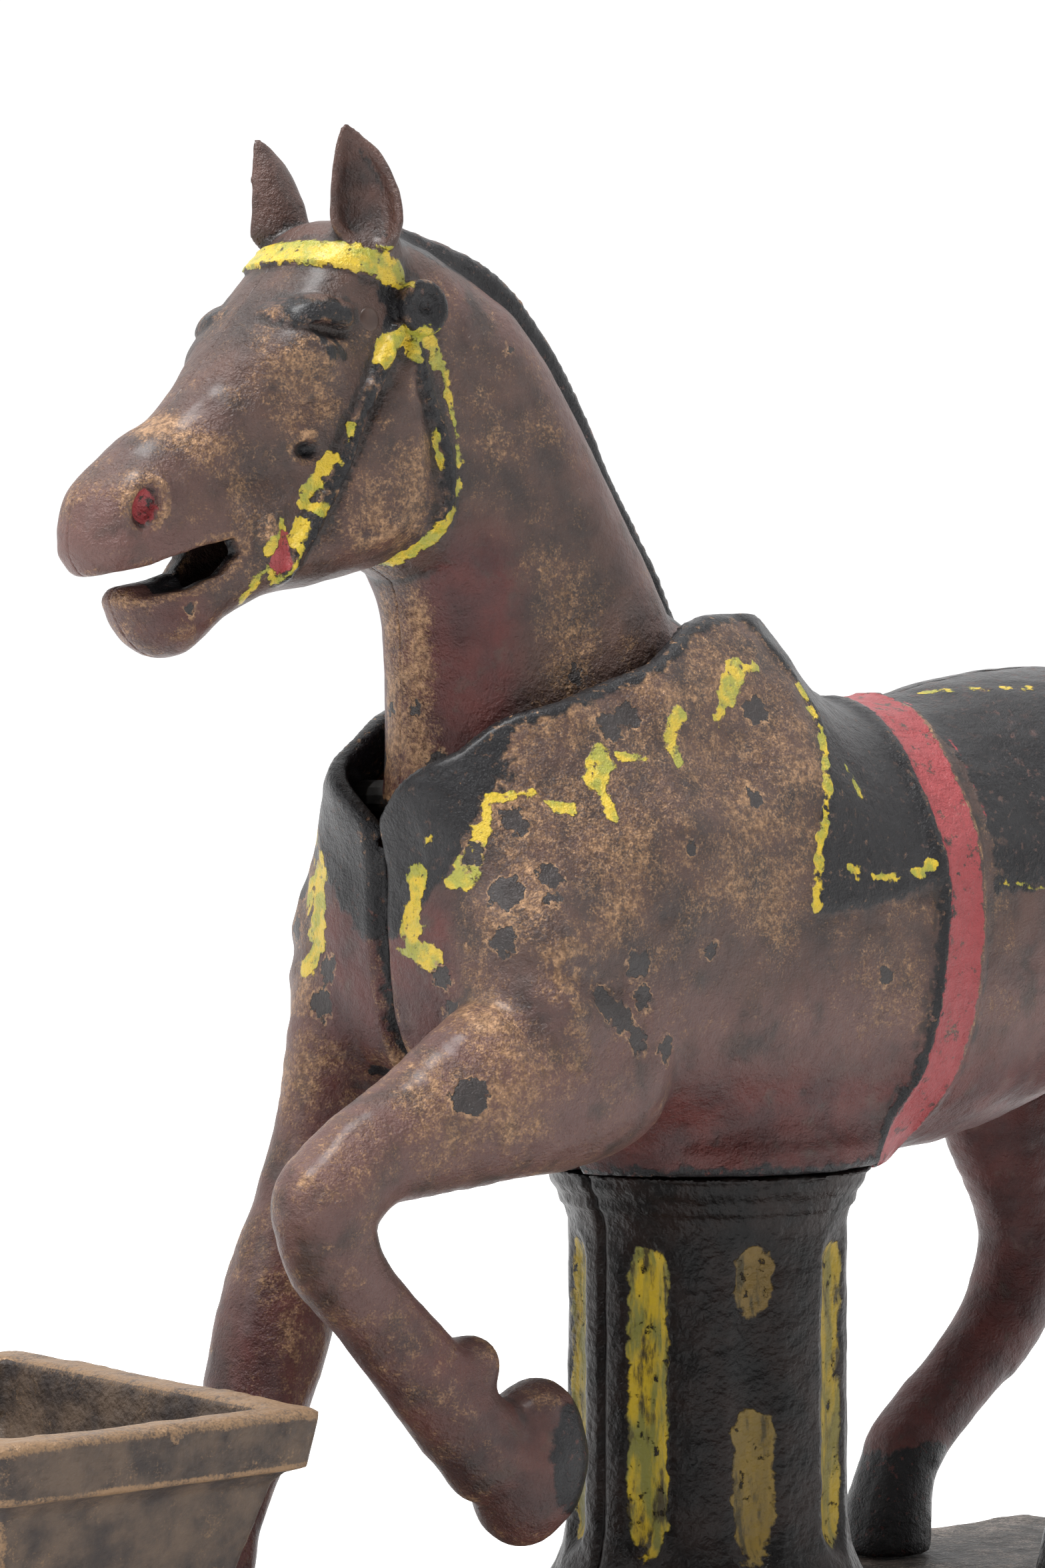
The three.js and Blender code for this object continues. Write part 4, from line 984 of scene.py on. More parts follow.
def base_casting():
    """The hollow base, with bosses for its screws, lugs for two pins and the holes in its top."""
    casting = Casting((-96, -38, -1.6), (96, 38, BASE_TOP + 1.6), BASE_STEP)
    casting.join(frustum(BASE_STEPS, corner=2.4))
    casting.roughen(0.12, 4.2, 61)
    casting.roughen(0.06, 1.9, 62)
    inside, _, _ = frustum(BASE_INSIDE)
    hollow = inside(*casting.grid())
    for place in BASE_SCREWS:
        hollow = casting.spare(hollow, upright(place, 4.4, 3.9, BASE_TOP))
    for pin_x, half_length, near, far, bottom in BASE_LUGS:
        for low, high in ((near, far), (-far, -near)):
            lug = block((pin_x - half_length, low, bottom), (pin_x + half_length, high, BASE_TOP))
            hollow = casting.spare(hollow, lug)
    casting.field = np.maximum(casting.field, -hollow)
    for place in BASE_SCREWS:
        casting.cut(upright(place, 1.9, -2, 12.3))
    for place, radius in [(p, 1.8) for p in COLUMN_SCREWS] + [(p, 1.6) for p in MANGER_SCREWS]:
        casting.cut(upright(place, radius, DECK_LOW, DECK_HIGH))
    casting.cut(upright((ROD_X, 0), ROD_HOLE, DECK_LOW, DECK_HIGH))
    casting.cut(block((-82.6, -12.6, DECK_LOW), (-67.4, 12.6, DECK_HIGH)), 0.3)
    casting.cut(limb([(80, 0, PULL_Z, 2.2, 1), (100, 0, PULL_Z, 2.2, 1)], 1))
    return casting


KNOB_END = high_of("pull_knob")[0]
KNOB_PROFILE = np.array([
    (-1, -10.6), (2.5, -10.6), (3.4, -9.9), (3.3, -9.1), (2.9, -8.5), (3.6, -7.6), (4.7, -6.5),
    (5.3, -5), (5.35, -4), (4.9, -2.2), (4, -1.1), (2.8, -0.4), (-1, 0),
])


def knob_casting():
    """Turned about the pull rod's line."""
    start = KNOB_END - 11.4
    casting = Casting((start, -6.4, PULL_Z - 6.4), (KNOB_END + 0.8, 6.4, PULL_Z + 6.4), 0.28)
    x, y, z = casting.grid()
    profile = spline(KNOB_PROFILE, 3)
    casting.field = -depth_in(np.hypot(y, z - PULL_Z), x - KNOB_END, profile)
    casting.roughen(0.06, 1.6, 71)
    casting.cut(limb([(start - 3, 0, PULL_Z, 1.9, 1), (KNOB_END - 8, 0, PULL_Z, 1.9, 1)], 1))
    return casting


# --------------------------------------------------------------------------------------------
# Materials
# --------------------------------------------------------------------------------------------


class Shader:
    """Builds a node material by small steps. Positions are in millimetres."""

    def __init__(self, name):
        self.material = bpy.data.materials.new(name)
        self.material.use_nodes = True
        self.tree = self.material.node_tree
        self.tree.nodes.clear()
        self.output = self.add("ShaderNodeOutputMaterial")
        self.bsdf = self.add("ShaderNodeBsdfPrincipled")
        self.tree.links.new(self.bsdf.outputs["BSDF"], self.output.inputs["Surface"])
        place = self.add("ShaderNodeTexCoord").outputs["Object"]
        self.place = self.vector("SCALE", place, 1 / MM)

    def add(self, kind, **settings):
        node = self.tree.nodes.new(kind)
        for key, value in settings.items():
            setattr(node, key, value)
        return node

    def put(self, socket, value):
        if isinstance(value, bpy.types.NodeSocket):
            self.tree.links.new(value, socket)
        else:
            socket.default_value = value

    def vector(self, operation, a, b):
        node = self.add("ShaderNodeVectorMath", operation=operation)
        self.put(node.inputs[0], a)
        self.put(node.inputs["Scale" if operation == "SCALE" else 1], b)
        return node.outputs["Vector"]

    def math(self, operation, a, b):
        node = self.add("ShaderNodeMath", operation=operation)
        self.put(node.inputs[0], a)
        self.put(node.inputs[1], b)
        return node.outputs["Value"]

    def times(self, a, b):
        return self.math("MULTIPLY", a, b)

    def plus(self, total, *values):
        for value in values:
            total = self.math("ADD", total, value)
        return total

    def noise(self, size, detail=3.0, stretch=None, shift=0.0, rough=0.55):
        """Noise from 0 to 1 with features of a size in millimetres."""
        place = self.place
        if stretch:
            place = self.vector("MULTIPLY", place, stretch)
        if shift:
            place = self.vector("ADD", place, (shift, shift * 0.7, -shift))
        node = self.add("ShaderNodeTexNoise")
        self.put(node.inputs["Vector"], place)
        self.put(node.inputs["Scale"], 1 / size)
        self.put(node.inputs["Detail"], detail)
        self.put(node.inputs["Roughness"], rough)
        return node.outputs["Fac"]

    def mark(self, name):
        return self.add("ShaderNodeAttribute", attribute_name=name).outputs["Fac"]

    def ramp(self, value, low, high):
        """From 0 at low to 1 at high, smoothly; low may be above high."""
        node = self.add("ShaderNodeMapRange", interpolation_type="SMOOTHSTEP")
        self.put(node.inputs["Value"], value)
        self.put(node.inputs["From Min"], low)
        self.put(node.inputs["From Max"], high)
        return node.outputs["Result"]

    def patches(self, low, high, size, detail, shift=0.0, rough=0.55):
        """The ramp of a noise: patches where it is above high, or below it if low is the higher."""
        return self.ramp(self.noise(size, detail, shift=shift, rough=rough), low, high)

    def blend(self, share, a, b):
        """Colours or numbers, a where share is 0 and b where it is 1."""
        is_colour = any(isinstance(v, tuple) or getattr(v, "type", "") == "RGBA" for v in (a, b))
        node = self.add("ShaderNodeMix", data_type="RGBA" if is_colour else "FLOAT")
        kind = "RGBA" if is_colour else "VALUE"
        inputs = [socket for socket in node.inputs if socket.type == kind and socket.name in "AB"]
        self.put(node.inputs["Factor"], share)
        for socket, value in zip(inputs, (a, b)):
            self.put(socket, (*value, 1) if isinstance(value, tuple) else value)
        return next(socket for socket in node.outputs if socket.type == kind)

    def bump_from(self, height, strength, distance, normal=None):
        node = self.add("ShaderNodeBump")
        self.put(node.inputs["Height"], height)
        self.put(node.inputs["Strength"], strength)
        self.put(node.inputs["Distance"], distance * MM)
        if normal is not None:
            self.put(node.inputs["Normal"], normal)
        return node.outputs["Normal"]

    def finish(self, colour, roughness, metallic, normal):
        self.put(self.bsdf.inputs["Base Color"], colour)
        self.put(self.bsdf.inputs["Roughness"], roughness)
        self.put(self.bsdf.inputs["Metallic"], metallic)
        self.put(self.bsdf.inputs["Normal"], normal)
        return self.material


def speckle(shader, amount, shift=0.0):
    """How much bronze shows through the varnish: fine grains in patches, more where amount is high."""
    grain = shader.noise(0.24, 2.0, shift=shift)
    fleck = shader.noise(0.9, 3.0, shift=shift + 20)
    patch = shader.noise(5.5, 6.0, shift=shift + 40, rough=0.68)
    grains = shader.plus(shader.times(grain, 1.6), shader.times(fleck, 0.8))
    return shader.ramp(shader.plus(grains, shader.times(patch, 2.0), amount), 2.48, 3.30)


def stroke(shader, name, size, wobble, soft=0.12, shift=0.0):
    """A painted stroke's share from its signed distance, with an uneven edge."""
    uneven = shader.math("SUBTRACT", shader.noise(size, 3.0, shift=shift), 0.5)
    return shader.ramp(shader.plus(shader.mark(name), shader.times(uneven, wobble)), soft, -soft)


def horse_paint(name):
    """Brown japanning over bronze, with maroon and pinkish films, black enamel and yellow and red trim, all worn.
    The pinkish one also stands for painted sheen.
    """
    s = Shader(name)
    bend = s.mark("bend")
    grit = s.noise(0.35, 3.0, shift=18)
    mottle = s.patches(0.3, 0.7, 5.0, 5.0, 7)
    brown = s.blend(mottle, (0.026, 0.013, 0.010), (0.078, 0.037, 0.026))
    # the pinkish films' colour, which on the head also paints sheen
    film_and_sheen = s.blend(s.noise(2.0, 4.0, shift=90), (0.075, 0.028, 0.023), (0.145, 0.068, 0.056))
    film_and_sheen_share = s.times(s.mark("pink_film_and_sheen"), s.patches(0.30, 0.55, 4.5, 4.0, 33))
    maroon = s.blend(mottle, (0.042, 0.006, 0.005), (0.092, 0.015, 0.011))
    maroon_share = s.times(s.mark("maroon"), s.patches(0.25, 0.5, 3.0, 4.0, 63))
    base = s.blend(maroon_share, s.blend(film_and_sheen_share, brown, film_and_sheen), maroon)
    edge = s.times(s.ramp(bend, 0.03, 0.16), 0.5)
    bronze = speckle(s, s.plus(s.mark("bronze"), edge))
    gold = s.blend(s.patches(0.3, 0.7, 0.6, 4.0, 12), (0.13, 0.066, 0.032), (0.46, 0.27, 0.14))
    colour = s.blend(s.times(bronze, 0.9), base, gold)
    # darker in creases: partly paint pooled there, partly painted shade
    crease_paint_and_shade = s.times(s.ramp(bend, -0.02, -0.13), 0.8)
    colour = s.blend(crease_paint_and_shade, colour, (0.012, 0.008, 0.007))

    worn_black = s.times(stroke(s, "black", 1.6, 2.8, 0.3, 17), s.patches(0.68, 0.58, 0.8, 5.0, 70, 0.6))
    enamel = s.blend(s.noise(1.2, 3.0, shift=5), (0.004, 0.004, 0.005), (0.016, 0.015, 0.017))
    colour = s.blend(worn_black, colour, enamel)

    red = stroke(s, "red", 1.0, 1.2, 0.12, 29)
    red_colour = s.blend(s.noise(1.4, 4.0, shift=14), (0.20, 0.020, 0.024), (0.38, 0.055, 0.06))
    colour = s.blend(s.times(red, s.patches(0.64, 0.56, 1.6, 6.0, 83, 0.7)), colour, red_colour)

    worn_yellow = s.times(stroke(s, "yellow", 1.4, 2.3, 0.1, 51), s.patches(0.69, 0.63, 1.3, 6.0, 44, 0.6))
    yellow_colour = s.blend(s.patches(0.42, 0.60, 2.2, 4.0, 21), (0.60, 0.42, 0.03), (0.32, 0.31, 0.04))
    yellow_colour = s.blend(s.patches(0.60, 0.74, 0.8, 4.0, 3), yellow_colour, (0.13, 0.12, 0.035))
    colour = s.blend(worn_yellow, colour, yellow_colour)

    chip = stroke(s, "chip", 0.9, 2.6, 0.08, 61)
    rim = s.times(stroke(s, "chip_rim", 0.9, 2.6, 0.1, 61), s.patches(0.4, 0.6, 1.2, 3.0, 55))
    colour = s.blend(s.times(rim, 0.8), colour, gold)
    iron = s.blend(s.noise(0.7, 3.0, shift=26), (0.010, 0.008, 0.008), (0.040, 0.028, 0.026))
    colour = s.blend(chip, colour, iron)

    metal = s.times(bronze, 0.35)
    for cover in (worn_black, red, worn_yellow, chip):
        metal = s.blend(cover, metal, 0.0)
    rough = s.blend(worn_black, s.blend(grit, 0.36, 0.60), s.blend(grit, 0.22, 0.42))
    rough = s.blend(worn_yellow, rough, 0.38)
    height = s.plus(
        s.times(s.noise(0.3, 3.0, shift=8), 0.9), s.times(bronze, -0.25), s.times(worn_yellow, 0.8),
        s.times(worn_black, 0.35), s.times(chip, -1.4),
    )
    normal = s.bump_from(height, 1.0, 0.22)
    normal = s.bump_from(s.noise(1.7, 5.0, shift=77, rough=0.65), 1.0, 0.6, normal)
    s.put(s.bsdf.inputs["Specular IOR Level"], s.blend(worn_black, 0.5, 0.28))
    s.put(s.bsdf.inputs["Coat Weight"], 0.14)
    s.put(s.bsdf.inputs["Coat Roughness"], 0.25)
    return s.finish(colour, rough, metal, normal)


def enamel_paint(name, dark, light, rub, rub_share, roughness=0.36):
    """Old enamel: mottled, lumpy, rubbed to bronze on its edges, with painted yellow strokes."""
    s = Shader(name)
    colour = s.blend(s.patches(0.32, 0.68, 4.5, 5.0, 7, 0.6), dark, light)
    edge = s.times(s.ramp(s.mark("bend"), 0.05, 0.26), 0.75)
    worn = speckle(s, s.plus(edge, rub_share, s.times(s.mark("top_face"), 0.9)), 15)
    colour = s.blend(worn, colour, rub)
    streak = s.noise(1.5, 4.0, stretch=(1, 1, 0.22), shift=21)
    bright = s.blend(s.ramp(streak, 0.42, 0.60), (0.50, 0.35, 0.022), (0.20, 0.19, 0.045))
    paint = s.blend(s.mark("ochre"), bright, (0.15, 0.098, 0.028))
    worn_streak = s.noise(1.8, 6.0, stretch=(1, 1, 0.3), shift=3, rough=0.62)
    paint = s.blend(s.ramp(worn_streak, 0.50, 0.64), paint, (0.055, 0.042, 0.018))
    kept = s.times(stroke(s, "yellow", 1.8, 2.2, 0.15, 51), s.patches(0.66, 0.60, 1.5, 6.0, 44, 0.65))
    colour = s.blend(kept, colour, paint)
    height = s.plus(s.noise(0.7, 4.0, shift=8), s.times(s.noise(2.2, 3.0), 1.6), s.times(kept, 0.6))
    normal = s.bump_from(height, 0.9, 0.24)
    s.put(s.bsdf.inputs["Specular IOR Level"], 0.22)
    rough = s.blend(s.noise(0.6, 3.0, shift=4), roughness - 0.12, roughness + 0.14)
    return s.finish(colour, rough, s.times(worn, 0.3), normal)


def bare_metal(name, dark, light, rust, roughness, rust_share):
    """Uncoated iron or steel with brown rust in patches and fine scratches."""
    s = Shader(name)
    colour = s.blend(s.noise(2.5, 5.0), dark, light)
    patch = s.patches(0.62 - rust_share, 0.72 - rust_share, 3.0, 5.0, 30)
    colour = s.blend(patch, colour, rust)
    scratches = s.noise(0.5, 2.0, stretch=(0.15, 1.0, 1.0), shift=9)
    rough = s.blend(patch, s.blend(scratches, roughness - 0.08, roughness + 0.12), 0.8)
    normal = s.bump_from(s.plus(scratches, s.noise(1.2, 3.0)), 0.4, 0.06)
    return s.finish(colour, rough, s.blend(patch, 0.9, 0.1), normal)


def rivet_paint():
    """The brown of the head, worn on the peened end."""
    s = Shader("rivet paint")
    colour = s.blend(s.noise(0.8, 4.0, shift=7), (0.022, 0.012, 0.010), (0.09, 0.05, 0.036))
    normal = s.bump_from(s.noise(0.5, 4.0), 0.5, 0.1)
    return s.finish(colour, s.blend(s.noise(0.4, 2.0), 0.36, 0.55), 0.1, normal)


# --------------------------------------------------------------------------------------------
# Paint, kept on the vertices: distances in millimetres, negative inside a mark, and shares
# --------------------------------------------------------------------------------------------


def strokes(x, z, lines):
    """Distance to the nearest of several strokes of the side view, (points, half width)."""
    nearest = np.full(len(x), FAR, np.float32)
    for points, half_width in lines:
        nearest = np.minimum(nearest, to_line(x, z, spline(points, 4)) - half_width)
    return nearest


def brush(v, lines):
    """The same in space, (points, half width). Each point moves to the surface first."""
    nearest = np.full(len(v), FAR, np.float32)
    for points, half_width in lines:
        points = [v[np.argmin((((v - point) * [1, 0.3, 1]) ** 2).sum(axis=1))] for point in points]
        for start, end in zip(points[:-1], points[1:]):
            run = end - start
            share = np.clip((v - start) @ run / max(run @ run, 1e-6), 0, 1)[:, None]
            away = np.linalg.norm((v - start - share * run) * [1, 0.6, 1], axis=1) - half_width
            nearest = np.minimum(nearest, away)
    return nearest


def spots(v, places):
    """Distance to the nearest of several spots, (x, y, z, radius), given for the left side."""
    nearest = np.full(len(v), FAR, np.float32)
    for px, py, pz, radius in places:
        away = np.sqrt((v[:, 0] - px) ** 2 + (np.abs(v[:, 1]) + py) ** 2 + (v[:, 2] - pz) ** 2)
        nearest = np.minimum(nearest, away - radius)
    return nearest


def join_marks(*distances):
    return functools.reduce(np.minimum, distances)


BRIDLE_YELLOW = [
    ([(-34.2, 162.4), (-33.2, 164.6), (-30, 165.2), (-27.4, 165), (-26.4, 162.6)], 0.85),
    ([(-30.4, 164.8), (-29.6, 163.2)], 0.9),
    ([(-26.2, 162.8), (-25.2, 159.9), (-24.5, 155.2), (-24.5, 150.4), (-26.4, 146.6)], 0.3),
    ([(-25.4, 148), (-26.8, 146), (-28.9, 143.4)], 0.75),
    ([(-40, 152.6), (-41.4, 151), (-42.6, 149.2)], 0.75),
    ([(-42.8, 148.2), (-41.4, 147.4)], 0.7),
    ([(-43.4, 146.2), (-44, 144.6)], 0.8),
    ([(-45.2, 146), (-46.9, 143.2), (-45.4, 140.4), (-43.7, 142.8), (-45.2, 146)], 0.3),
    ([(-47.2, 141), (-48.4, 138.8)], 0.5),
    ([(-38.6, 154.4), (-38.2, 156)], 0.3),
    ([(-27.6, 156), (-26.9, 152)], 0.25),
]
BIT_RED = [([(-45.3, 144.4), (-45.5, 142.2)], 0.95)]
BRIDLE_BLACK = [
    (CHEEK_STRAP[::6], 0.8),
    (THROAT_LATCH[::6], 0.9),
    ([(-33.4, 169.6), (-32.6, 168), (-33, 166.4)], 0.9),
    ([(-40.6, 164.6), (-39.4, 162.6)], 0.35),
    ([(-42.4, 164.8), (-41.6, 162)], 0.5),
]
CHEEK_PIT = (-42.6, 153.4)
HEAD_CHIPS = [
    (-9.5, -9, 131.6, 0.9), (-25, -2, 128, 0.7), (-23.6, -4, 122.6, 1.2), (-17, -8, 164.6, 0.5),
    (-55, -4.6, 137.4, 0.7), (-24.6, -3, 118, 1),
]
HEAD_CHIP_RIM = 0.3    # width of the bronze round a chip
HEAD_BRONZE_AND_HIGHLIGHT = [
    # share, centre, radii, turn in degrees
    # the second place, along the bridge, is partly rubbed bronze, partly a painted highlight
    (0.55, (-43.6, 158.6), (7, 6), -40), (0.7, (-55.6, 154.6), (10, 3.6), -36),
    (0.4, (-32.6, 150.4), (7, 10), 0), (-0.5, (-60, 142), (10, 5), 0), (-0.45, (-38, 168.6), (8, 5), 0),
]


def spot(x, z, centre, radius, narrow=1.0):
    """Distance in the side view to a round or upright oval spot."""
    return np.hypot((x - centre[0]) / narrow, z - centre[1]) - radius


def only_where(condition, distance):
    """A distance that counts only where a condition holds."""
    return np.where(condition, distance, FAR)


def head_marks(v):
    """Paint and wear of one side of the head and neck."""
    x, y, z = v[:, 0], np.abs(v[:, 1]), v[:, 2]
    sunk = neck_half_width(x, z) - y
    outside = only_where(sunk < 1.7, 0)
    mane = to_line(x, z, spline(MANE)) - 1.6
    yellow = outside + join_marks(to_line(x, z, BROWBAND) - 1.35, strokes(x, z, BRIDLE_YELLOW))
    red = join_marks(spot(x, z, NOSTRIL, 1.6, 0.8), strokes(x, z, BIT_RED) + outside)
    black = join_marks(
        mane,
        only_where((sunk > 1.2) & (x > -58), -0.5 - depth_in(x, z, MOUTH)),
        only_where((z < 138) & (y < 5.6) & (x > -22), -1),
        only_where(y > 8.2, spot(x, z, ROSETTE, 2.9)),
        spot(x, z, EYE, 0.9, 0.8),
        spot(x, z, CHEEK_PIT, 0.8),
        to_line(x, z, BROW) - 1.1,
        strokes(x, z, BRIDLE_BLACK) + outside,
    )
    chip = spots(v, HEAD_CHIPS)
    # bronze showing through; along the bridge it is also a painted highlight
    bronze = 0.24 + bumps(x, z, HEAD_BRONZE_AND_HIGHLIGHT)
    on_neck = smooth_step(x, -26.5, -24.5) * smooth_step(-z, -150, -140)
    bronze += on_neck * 0.8 * smooth_step(-y, -7, -1.5) * smooth_step(-x, 15, 22)
    bronze -= on_neck * 0.75 * smooth_step(-x, 12, 23) * smooth_step(y, 2.4, 6.4)
    bronze += on_neck * 0.3 * smooth_step(x, -22, -10) - 0.35 * smooth_step(x, -9, -3)
    bronze -= 0.8 * smooth_step(z, 171, 175)
    maroon = on_neck * 1.3 * smooth_step(-x, 13.5, 21) + 0.4 * bump(x, z, (-34, 145), (10, 6))
    maroon += 0.15 * smooth_step(z, 174, 177) + 0.6 * bump(x, z, (-56, 136), (8, 5))
    # the pinkish films, with painted sheen on the muzzle, down the front of the face and along the mane
    pink_film_and_sheen = 0.8 * bump(x, z, (-62, 144), (10, 8)) + 0.7 * smooth_step(-mane, -9, -3)
    pink_film_and_sheen += 0.4 * smooth_step(-x, 46, 54) - smooth_step(z, 170, 174)
    return dict(
        yellow=yellow, red=red, black=black, chip=chip, chip_rim=chip - HEAD_CHIP_RIM,
        bronze=bronze, maroon=maroon, pink_film_and_sheen=pink_film_and_sheen,
    )


LEFT_BREAST_YELLOW = [
    ([(-28, -6.6, 111.5), (-28, -5.8, 107.8), (-28, -5.6, 104.6)], 0.8),
    ([(-28, -6, 104), (-27.6, -7.8, 102.7)], 1.2),
    ([(-28, -7.6, 114), (-28, -8.6, 115)], 0.25),
]
RIGHT_BREAST_YELLOW = [
    ([(-27, 13, 111), (-27.4, 12, 107.6)], 0.9),
    ([(-27.4, 12, 107.6), (-28, 13.4, 104), (-28, 14.6, 101)], 1.0),
    ([(-27, 16, 109.6), (-27, 15, 107)], 0.5),
]
SIDE_YELLOW = [
    ([(-26.5, -12.8, 112.6), (-27, -12, 110.8)], 1.1),
    ([(-25.6, -15, 115.8), (-26.4, -13.6, 113)], 0.7),
    ([(-25, -15.2, 117.4), (-24.4, -15.6, 119), (-20, -16.2, 119.6)], 0.38),
    ([(-18.3, -16.6, 118.6), (-16.2, -17.2, 118)], 0.6),
    ([(-11.9, -16.2, 122.6), (-13, -16.8, 121)], 1.5),
    ([(-13, -17, 120), (-12.2, -18.2, 117.2)], 0.55),
    ([(-9.4, -16.6, 123.4), (-6.4, -17, 122.8)], 0.45),
    ([(-1.6, -16, 127.8), (-3, -16.6, 125)], 0.85),
    ([(-3, -16.6, 125), (-2.4, -17.4, 122.6)], 0.55),
    ([(7.4, -14.6, 132.2), (5.4, -15.6, 129.4)], 1.2),
    ([(5.4, -15.6, 129.4), (3.8, -16.3, 127)], 0.6),
    ([(7.7, -14.5, 132.6), (10.6, -14, 132.4)], 0.5),
    ([
        (17.4, -15, 130.6), (18.2, -17.4, 126), (16.6, -19.3, 120), (14.8, -20, 113.6),
        (13.8, -20.4, 107.4),
    ], 0.45),
    ([(18.8, -20.6, 111.4), (20, -20.6, 111)], 0.5),
    ([(22, -20.6, 110.4), (26, -20.6, 110.4)], 0.35),
    ([(28, -20.6, 110.6), (31, -20.6, 111.4)], 0.6),
    ([(41, -20.8, 109.2), (52, -21, 108.6), (64, -21, 108.4), (76, -18.6, 110)], 0.22),
    ([(46, -5, 131.4), (57, -8, 130.6), (72, -8, 129.6)], 0.3),
    ([(21, -19, 122), (22, -19.4, 119)], 0.25),
]
GIRTH_RED = [([(42.6, -6.8, 130), (41, -13.9, 124.3), (40.6, -19, 116.7)], 0.2)]
BREAST_BLACK = np.array([
    # y and z of the right half
    (-1, 104), (3, 104.6), (7, 108.4), (9.4, 111), (12.4, 115.8), (13.6, 119.6), (11, 127), (-1, 127),
])
LEFT_FORE_HOOF_BLACK = (-17.6, 53)
LEFT_HIND_HOOF_BLACK = (60, 36)
CHIP_GROWTH = 0.35     # added to the radius of each
BODY_CHIP_RIM = 0.35   # width of the bronze round a chip
BODY_BRONZE = [
    # share, centre, radii, turn in degrees
    (0.5, (-30, 90), (17, 7), 20), (0.25, (26, 98), (14, 12), 0), (0.3, (-46, 80), (6, 8), 0),
    (-0.5, (-20, 53), (9, 10), 0),
]
BODY_CHIPS = [
    (-24.6, -16.4, 109.6, 1.4), (-20.8, -18.4, 111.1, 1.0), (-21.2, -18.8, 108.8, 0.8),
    (-25, -16.8, 105, 1.2), (-21.7, -19.4, 103.4, 1.0), (-27.1, -9.4, 101.2, 0.9),
    (-15.6, -21, 98.6, 1.3), (-13.4, -21, 97, 1.2), (-10.2, -21, 98.7, 0.9), (-11.1, -21, 102.3, 1.1),
    (-9.9, -15.6, 126.4, 1.3), (-7.6, -15.4, 127.4, 1.1), (9.2, -16.3, 128, 1.2),
    (-6.6, -20.4, 93.4, 1.0), (-11, -21.4, 94.6, 1.0), (-1.3, -20.7, 103.6, 0.5), (-4, -20.6, 114, 0.5),
    (6, -19.2, 118.7, 0.8), (-32.5, -20.4, 90, 1.6), (-27.4, -13.4, 113.4, 1.4),
    (-22.6, -15.6, 117, 1.2), (24, -20.6, 100, 0.7), (-27.6, -10.6, 97.4, 1.2),
]


def body_marks(v):
    """Paint and wear of one side of the body and its legs."""
    x, y, z = v[:, 0], np.abs(v[:, 1]), v[:, 2]
    is_left = v[0, 1] < 0
    left = v if is_left else v * [1, -1, 1]
    breast_lines = LEFT_BREAST_YELLOW if is_left else RIGHT_BREAST_YELLOW
    yellow = join_marks(brush(left, SIDE_YELLOW), brush(v, breast_lines))
    girth = -depth_in(x, z, GIRTH)
    red = join_marks(girth + 0.5, brush(left, GIRTH_RED))
    rim = np.interp(x, *COLLAR_RIM.T)
    inside_body = (y < 12) & (x > -24) & (x < 80) & (z < 126)
    inside_collar = (y < 10.8) & (x > -20) & (x < 14) & (z < 137)
    black = join_marks(
        -depth_in(x, z, CLOTH),
        np.maximum(np.maximum(41 - x, 109 - z), 0) - 0.5,
        only_where(x < -20, -depth_in(y, z, BREAST_BLACK)),
        only_where((x < 17) & (z > 112), np.abs(z - rim) - 1.0),
        only_where((inside_body | inside_collar) & (z > 90), -1),
        spot(x, z, LEFT_FORE_HOOF_BLACK, 5.6, 0.8),
        spot(x, z, LEFT_HIND_HOOF_BLACK, 7),
        z - 38.5,
        np.maximum(np.hypot(x - COLUMN_X, v[:, 1]) - 19.6, z - 80.2),
        only_where(x < 0, y - 0.9),
        np.maximum(to_line(x, z, GIRTH_FRONT) - 0.9, girth - 0.8),
    )
    chip = spots(v, BODY_CHIPS) - CHIP_GROWTH
    upper = smooth_step(z, 97, 108)
    low_breast = np.maximum(smooth_step(-x, 24, 27) - upper, 0) * (z > 96)
    front = smooth_step(-x, 20, 25)
    bronze = 0.22 + bumps(x, z, BODY_BRONZE) + 0.34 * upper * smooth_step(-x, -26, -14) + 0.35 * low_breast
    bronze -= 0.5 * smooth_step(-z, -96, -88) * smooth_step(x, -8, 0) + 0.3 * smooth_step(x, 42, 48)
    bronze -= 0.6 * front * smooth_step(-y, -13, -9) * smooth_step(z, 92, 96)
    bronze += 0.3 * bump(x, z, (-31, 66), (7, 14), 20) * (v[:, 1] > 0)
    pink_film_and_sheen = 0.9 * smooth_step(-z, -106, -94) * smooth_step(z, 56, 66) + 0.5 * smooth_step(x, 42, 48)
    pink_film_and_sheen -= 0.6 * smooth_step(-z, -92, -86) * (x > -6)
    maroon = 1.2 * smooth_step(-z, -95, -85) * smooth_step(x, -10, -2) + 0.5 * smooth_step(-z, -74, -64)
    maroon += 0.9 * front * smooth_step(-y, -13, -9) * smooth_step(-z, -112, -106)
    return dict(
        yellow=yellow, red=red, black=black, chip=chip, chip_rim=chip - BODY_CHIP_RIM,
        bronze=bronze, maroon=maroon, pink_film_and_sheen=pink_film_and_sheen,
    )


FLUTE_PAINT = [
    # angle, low and high end of each stroke, how brown it has gone
    (22.5, 40, 71, 0.3), (67.5, 39, 70.6, 0.6), (112.5, 40.4, 71.2, 0.2), (157.5, 39, 71.6, 0.2),
    (202.5, 38.6, 71.4, 0.0), (247.5, 63.8, 71.6, 1.0), (247.5, 37.8, 54.4, 0.9), (292.5, 38.8, 71.6, 0.45),
    (337.5, 40, 70, 0.5),
]
FLUTE_PAINT_RADIUS = 15        # from the column's axis
FLUTE_PAINT_HALF_WIDTH = 2.35


